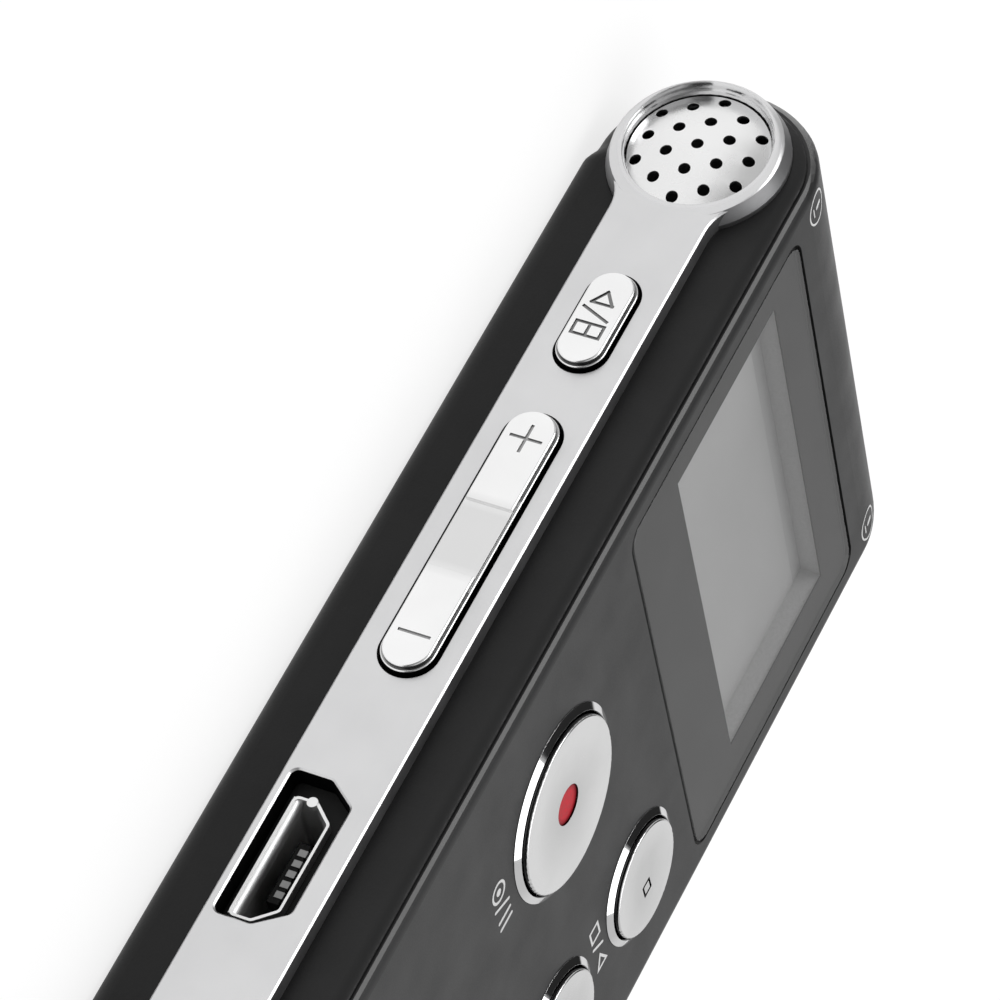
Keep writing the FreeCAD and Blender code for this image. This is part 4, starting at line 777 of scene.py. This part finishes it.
# ---------------------------------------------------------------- display lens
LENS_EDGE = 0.07
LENS_CORNER_R = 1.3
LENS_LIFT = 0.03       # clear of the printed mask, so that the two never share a plane
low_z, top_z = lens_lo.z / MM + LENS_LIFT, lens_hi.z / MM
bm = bmesh.new()
loops = []
for inset, z in (
    (LENS_EDGE, low_z),
    (0.0, low_z + LENS_EDGE),
    (0.0, top_z - LENS_EDGE),
    (LENS_EDGE * 0.3, top_z - LENS_EDGE * 0.3),
    (LENS_EDGE, top_z),
):
    outline = rounded_rect(
        lens_lo.x / MM + inset, lens_hi.x / MM - inset,
        lens_lo.y / MM + inset, lens_hi.y / MM - inset,
        LENS_CORNER_R - inset,
    )
    loops.append([bm.verts.new((x, y, z)) for x, y in outline])
skin_all(bm, loops)
bm.faces.new(loops[-1])
bm.faces.new(loops[0][::-1])
lens = piece("lens_pane", bm, "lens")
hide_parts("display_lens")

# ---------------------------------------------------------------- felt behind the grilles
# Radius and distance from the middle of the case, from the front of the disc round to its back.
FELT_PROFILE = (0.6, 16.33), (2.9, 16.30), (3.3, 16.24), (3.3, 16.12), (2.9, 16.08), (0.6, 16.08)

for side, name, grille in (
    (-1, "left_mic_felt", "left_mic_grille"),
    (1, "right_mic_felt", "right_mic_grille"),
):
    lo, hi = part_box(grille)
    y, z = (lo.y + hi.y) / 2 / MM, (lo.z + hi.z) / 2 / MM
    bm = bmesh.new()
    loops = [
        [bm.verts.new((side * x, a, b)) for a, b in circle(y, z, radius, 40)]
        for radius, x in FELT_PROFILE
    ]
    skin_all(bm, loops)
    bm.faces.new(loops[0])
    bm.faces.new(loops[-1])
    felt = piece(name, bm, "cone")
    felt.data.shade_smooth()
    felt.data.set_sharp_from_angle(angle=math.radians(40))

# ---------------------------------------------------------------- black sheet round the socket: painted shade in the gap
SHADE_SHEET_BACK_X = -15.9
SHADE_SHEET_OUTER_X, SHADE_SHEET_INNER_X = -16.25, -16.35    # its front, at the opening and at the shell


def socket_outline(y0, y1, z0, z1, cut_y, cut_z):
    """Box in Y and Z round the socket whose two corners on the screen side are cut off.

    Y is counted from the middle of the socket's shell, Z from the back of the shell.
    """
    middle_y, back_z = (usb_lo.y + usb_hi.y) / 2 / MM, usb_lo.z / MM
    corners = (
        (y0, z0), (y1, z0), (y1, z1 - cut_z), (y1 - cut_y, z1), (y0 + cut_y, z1), (y0, z1 - cut_z),
    )
    return [(middle_y + y, back_z + z) for y, z in corners]


rail_opening = socket_outline(y0=-4.07, y1=4.87, z0=-0.52, z1=3.27, cut_y=1.2, cut_z=1.65)
shell_outline = socket_outline(y0=-3.68, y1=3.68, z0=0.07, z1=2.43, cut_y=1.0, cut_z=1.15)
bm = bmesh.new()
loops = [
    [bm.verts.new((x, y, z)) for y, z in outline]
    for outline, x in (
        (rail_opening, SHADE_SHEET_BACK_X),
        (rail_opening, SHADE_SHEET_OUTER_X),
        (shell_outline, SHADE_SHEET_INNER_X),
        (shell_outline, SHADE_SHEET_BACK_X),
    )
]
skin_all(bm, loops + loops[:1])
# a black sheet fills the gap round the socket, standing in for shade
piece("socket_shade_sheet", bm, "ink")

# ---------------------------------------------------------------- floor
FLOOR_R = 4000
FLOOR_Z = -0.05      # just clear of the back of the case

bm = bmesh.new()
bm.faces.new([bm.verts.new((x, y, FLOOR_Z)) for x, y in circle(0, 0, FLOOR_R, 64)])
floor = object_from("floor", bm)
paint(floor, FINISHES["studio_paper"])


# ---------------------------------------------------------------- light
def softbox(name, direction, distance, width, radiance):
    """Square area light that faces the object. radiance is how bright it looks in a mirror."""
    data = bpy.data.lights.new(name, "AREA")
    data.shape = "RECTANGLE"
    data.size = width
    data.size_y = width
    data.energy = radiance * math.pi * width ** 2
    light = bpy.data.objects.new(name, data)
    away = Vector(direction).normalized()
    light.location = away * distance
    light.rotation_mode = "QUATERNION"
    light.rotation_quaternion = away.to_track_quat("Z", "Y")
    light.visible_camera = False
    scene.collection.objects.link(light)


softbox("key_light", (-0.37, 0.50, 0.79), distance=0.7, width=0.42, radiance=2.8)
softbox("top_light", (0.30, 0.04, 0.95), distance=0.9, width=0.6, radiance=1.7)

STUDIO_LEVEL = 0.55
# Direction, degrees from it to the end of the even middle and to the outer edge, brightness.
STUDIO_AREAS = (
    ((0.787, 0.494, 0.370), 16, 30, 0.74),     # wall behind, which the front mirrors
    ((0.22, 0.62, 0.75), 17, 21, 0.02),        # dark gap between the wall and the lamps
    ((0.46, 0.78, 0.42), 14, 18, 0.02),
    ((0.05, -0.99, 0.08), 22, 40, 0.03),       # dark end of the studio, low down
    ((-0.90, -0.40, 0.10), 22, 40, 0.12),
)

world = bpy.data.worlds.new("studio")
scene.world = world
world.use_nodes = True
tree = world.node_tree
background = tree.nodes["Background"]
background.inputs["Color"].default_value = (1, 1, 1, 1)
direction = tree.nodes.new("ShaderNodeTexCoord").outputs["Generated"]
level = tree.nodes.new("ShaderNodeValue")
level.outputs[0].default_value = STUDIO_LEVEL
strength = level.outputs[0]
for toward, middle, edge, brightness in STUDIO_AREAS:
    cosine = tree.nodes.new("ShaderNodeVectorMath")
    cosine.operation = "DOT_PRODUCT"
    cosine.inputs[1].default_value = Vector(toward).normalized()
    tree.links.new(direction, cosine.inputs[0])
    area = tree.nodes.new("ShaderNodeMapRange")
    area.interpolation_type = "SMOOTHSTEP"
    area.inputs["From Min"].default_value = math.cos(math.radians(edge))
    area.inputs["From Max"].default_value = math.cos(math.radians(middle))
    tree.links.new(cosine.outputs["Value"], area.inputs["Value"])
    mix = tree.nodes.new("ShaderNodeMix")
    mix.data_type = "FLOAT"
    tree.links.new(area.outputs[0], mix.inputs[0])
    tree.links.new(strength, mix.inputs[2])
    mix.inputs[3].default_value = brightness
    strength = mix.outputs[0]
tree.links.new(strength, background.inputs["Strength"])

scene.view_settings.view_transform = "Standard"

# ---------------------------------------------------------------- camera
# It stands to the left and above, a little towards the lower end. Lens sizes are in millimetres.
FOCAL_LENGTH = 206.1287
SENSOR_WIDTH = 36.0
EYE = Vector((-0.24879329, -0.12625953, 0.11529134))
RIGHT = Vector((0.14701599, 0.43200116, 0.8898097))
UP = Vector((-0.59914593, 0.75466722, -0.26739771))
BACK = RIGHT.cross(UP)

camera_data = bpy.data.cameras.new("camera")
camera_data.lens = FOCAL_LENGTH
camera_data.sensor_width = SENSOR_WIDTH
camera_data.clip_start = 0.01
camera_data.clip_end = 20.0
camera = bpy.data.objects.new("camera", camera_data)
scene.collection.objects.link(camera)
camera.matrix_world = Matrix.Translation(EYE) @ Matrix((RIGHT, UP, BACK)).transposed().to_4x4()
scene.camera = camera

# ---------------------------------------------------------------- final update
bpy.context.view_layer.update()
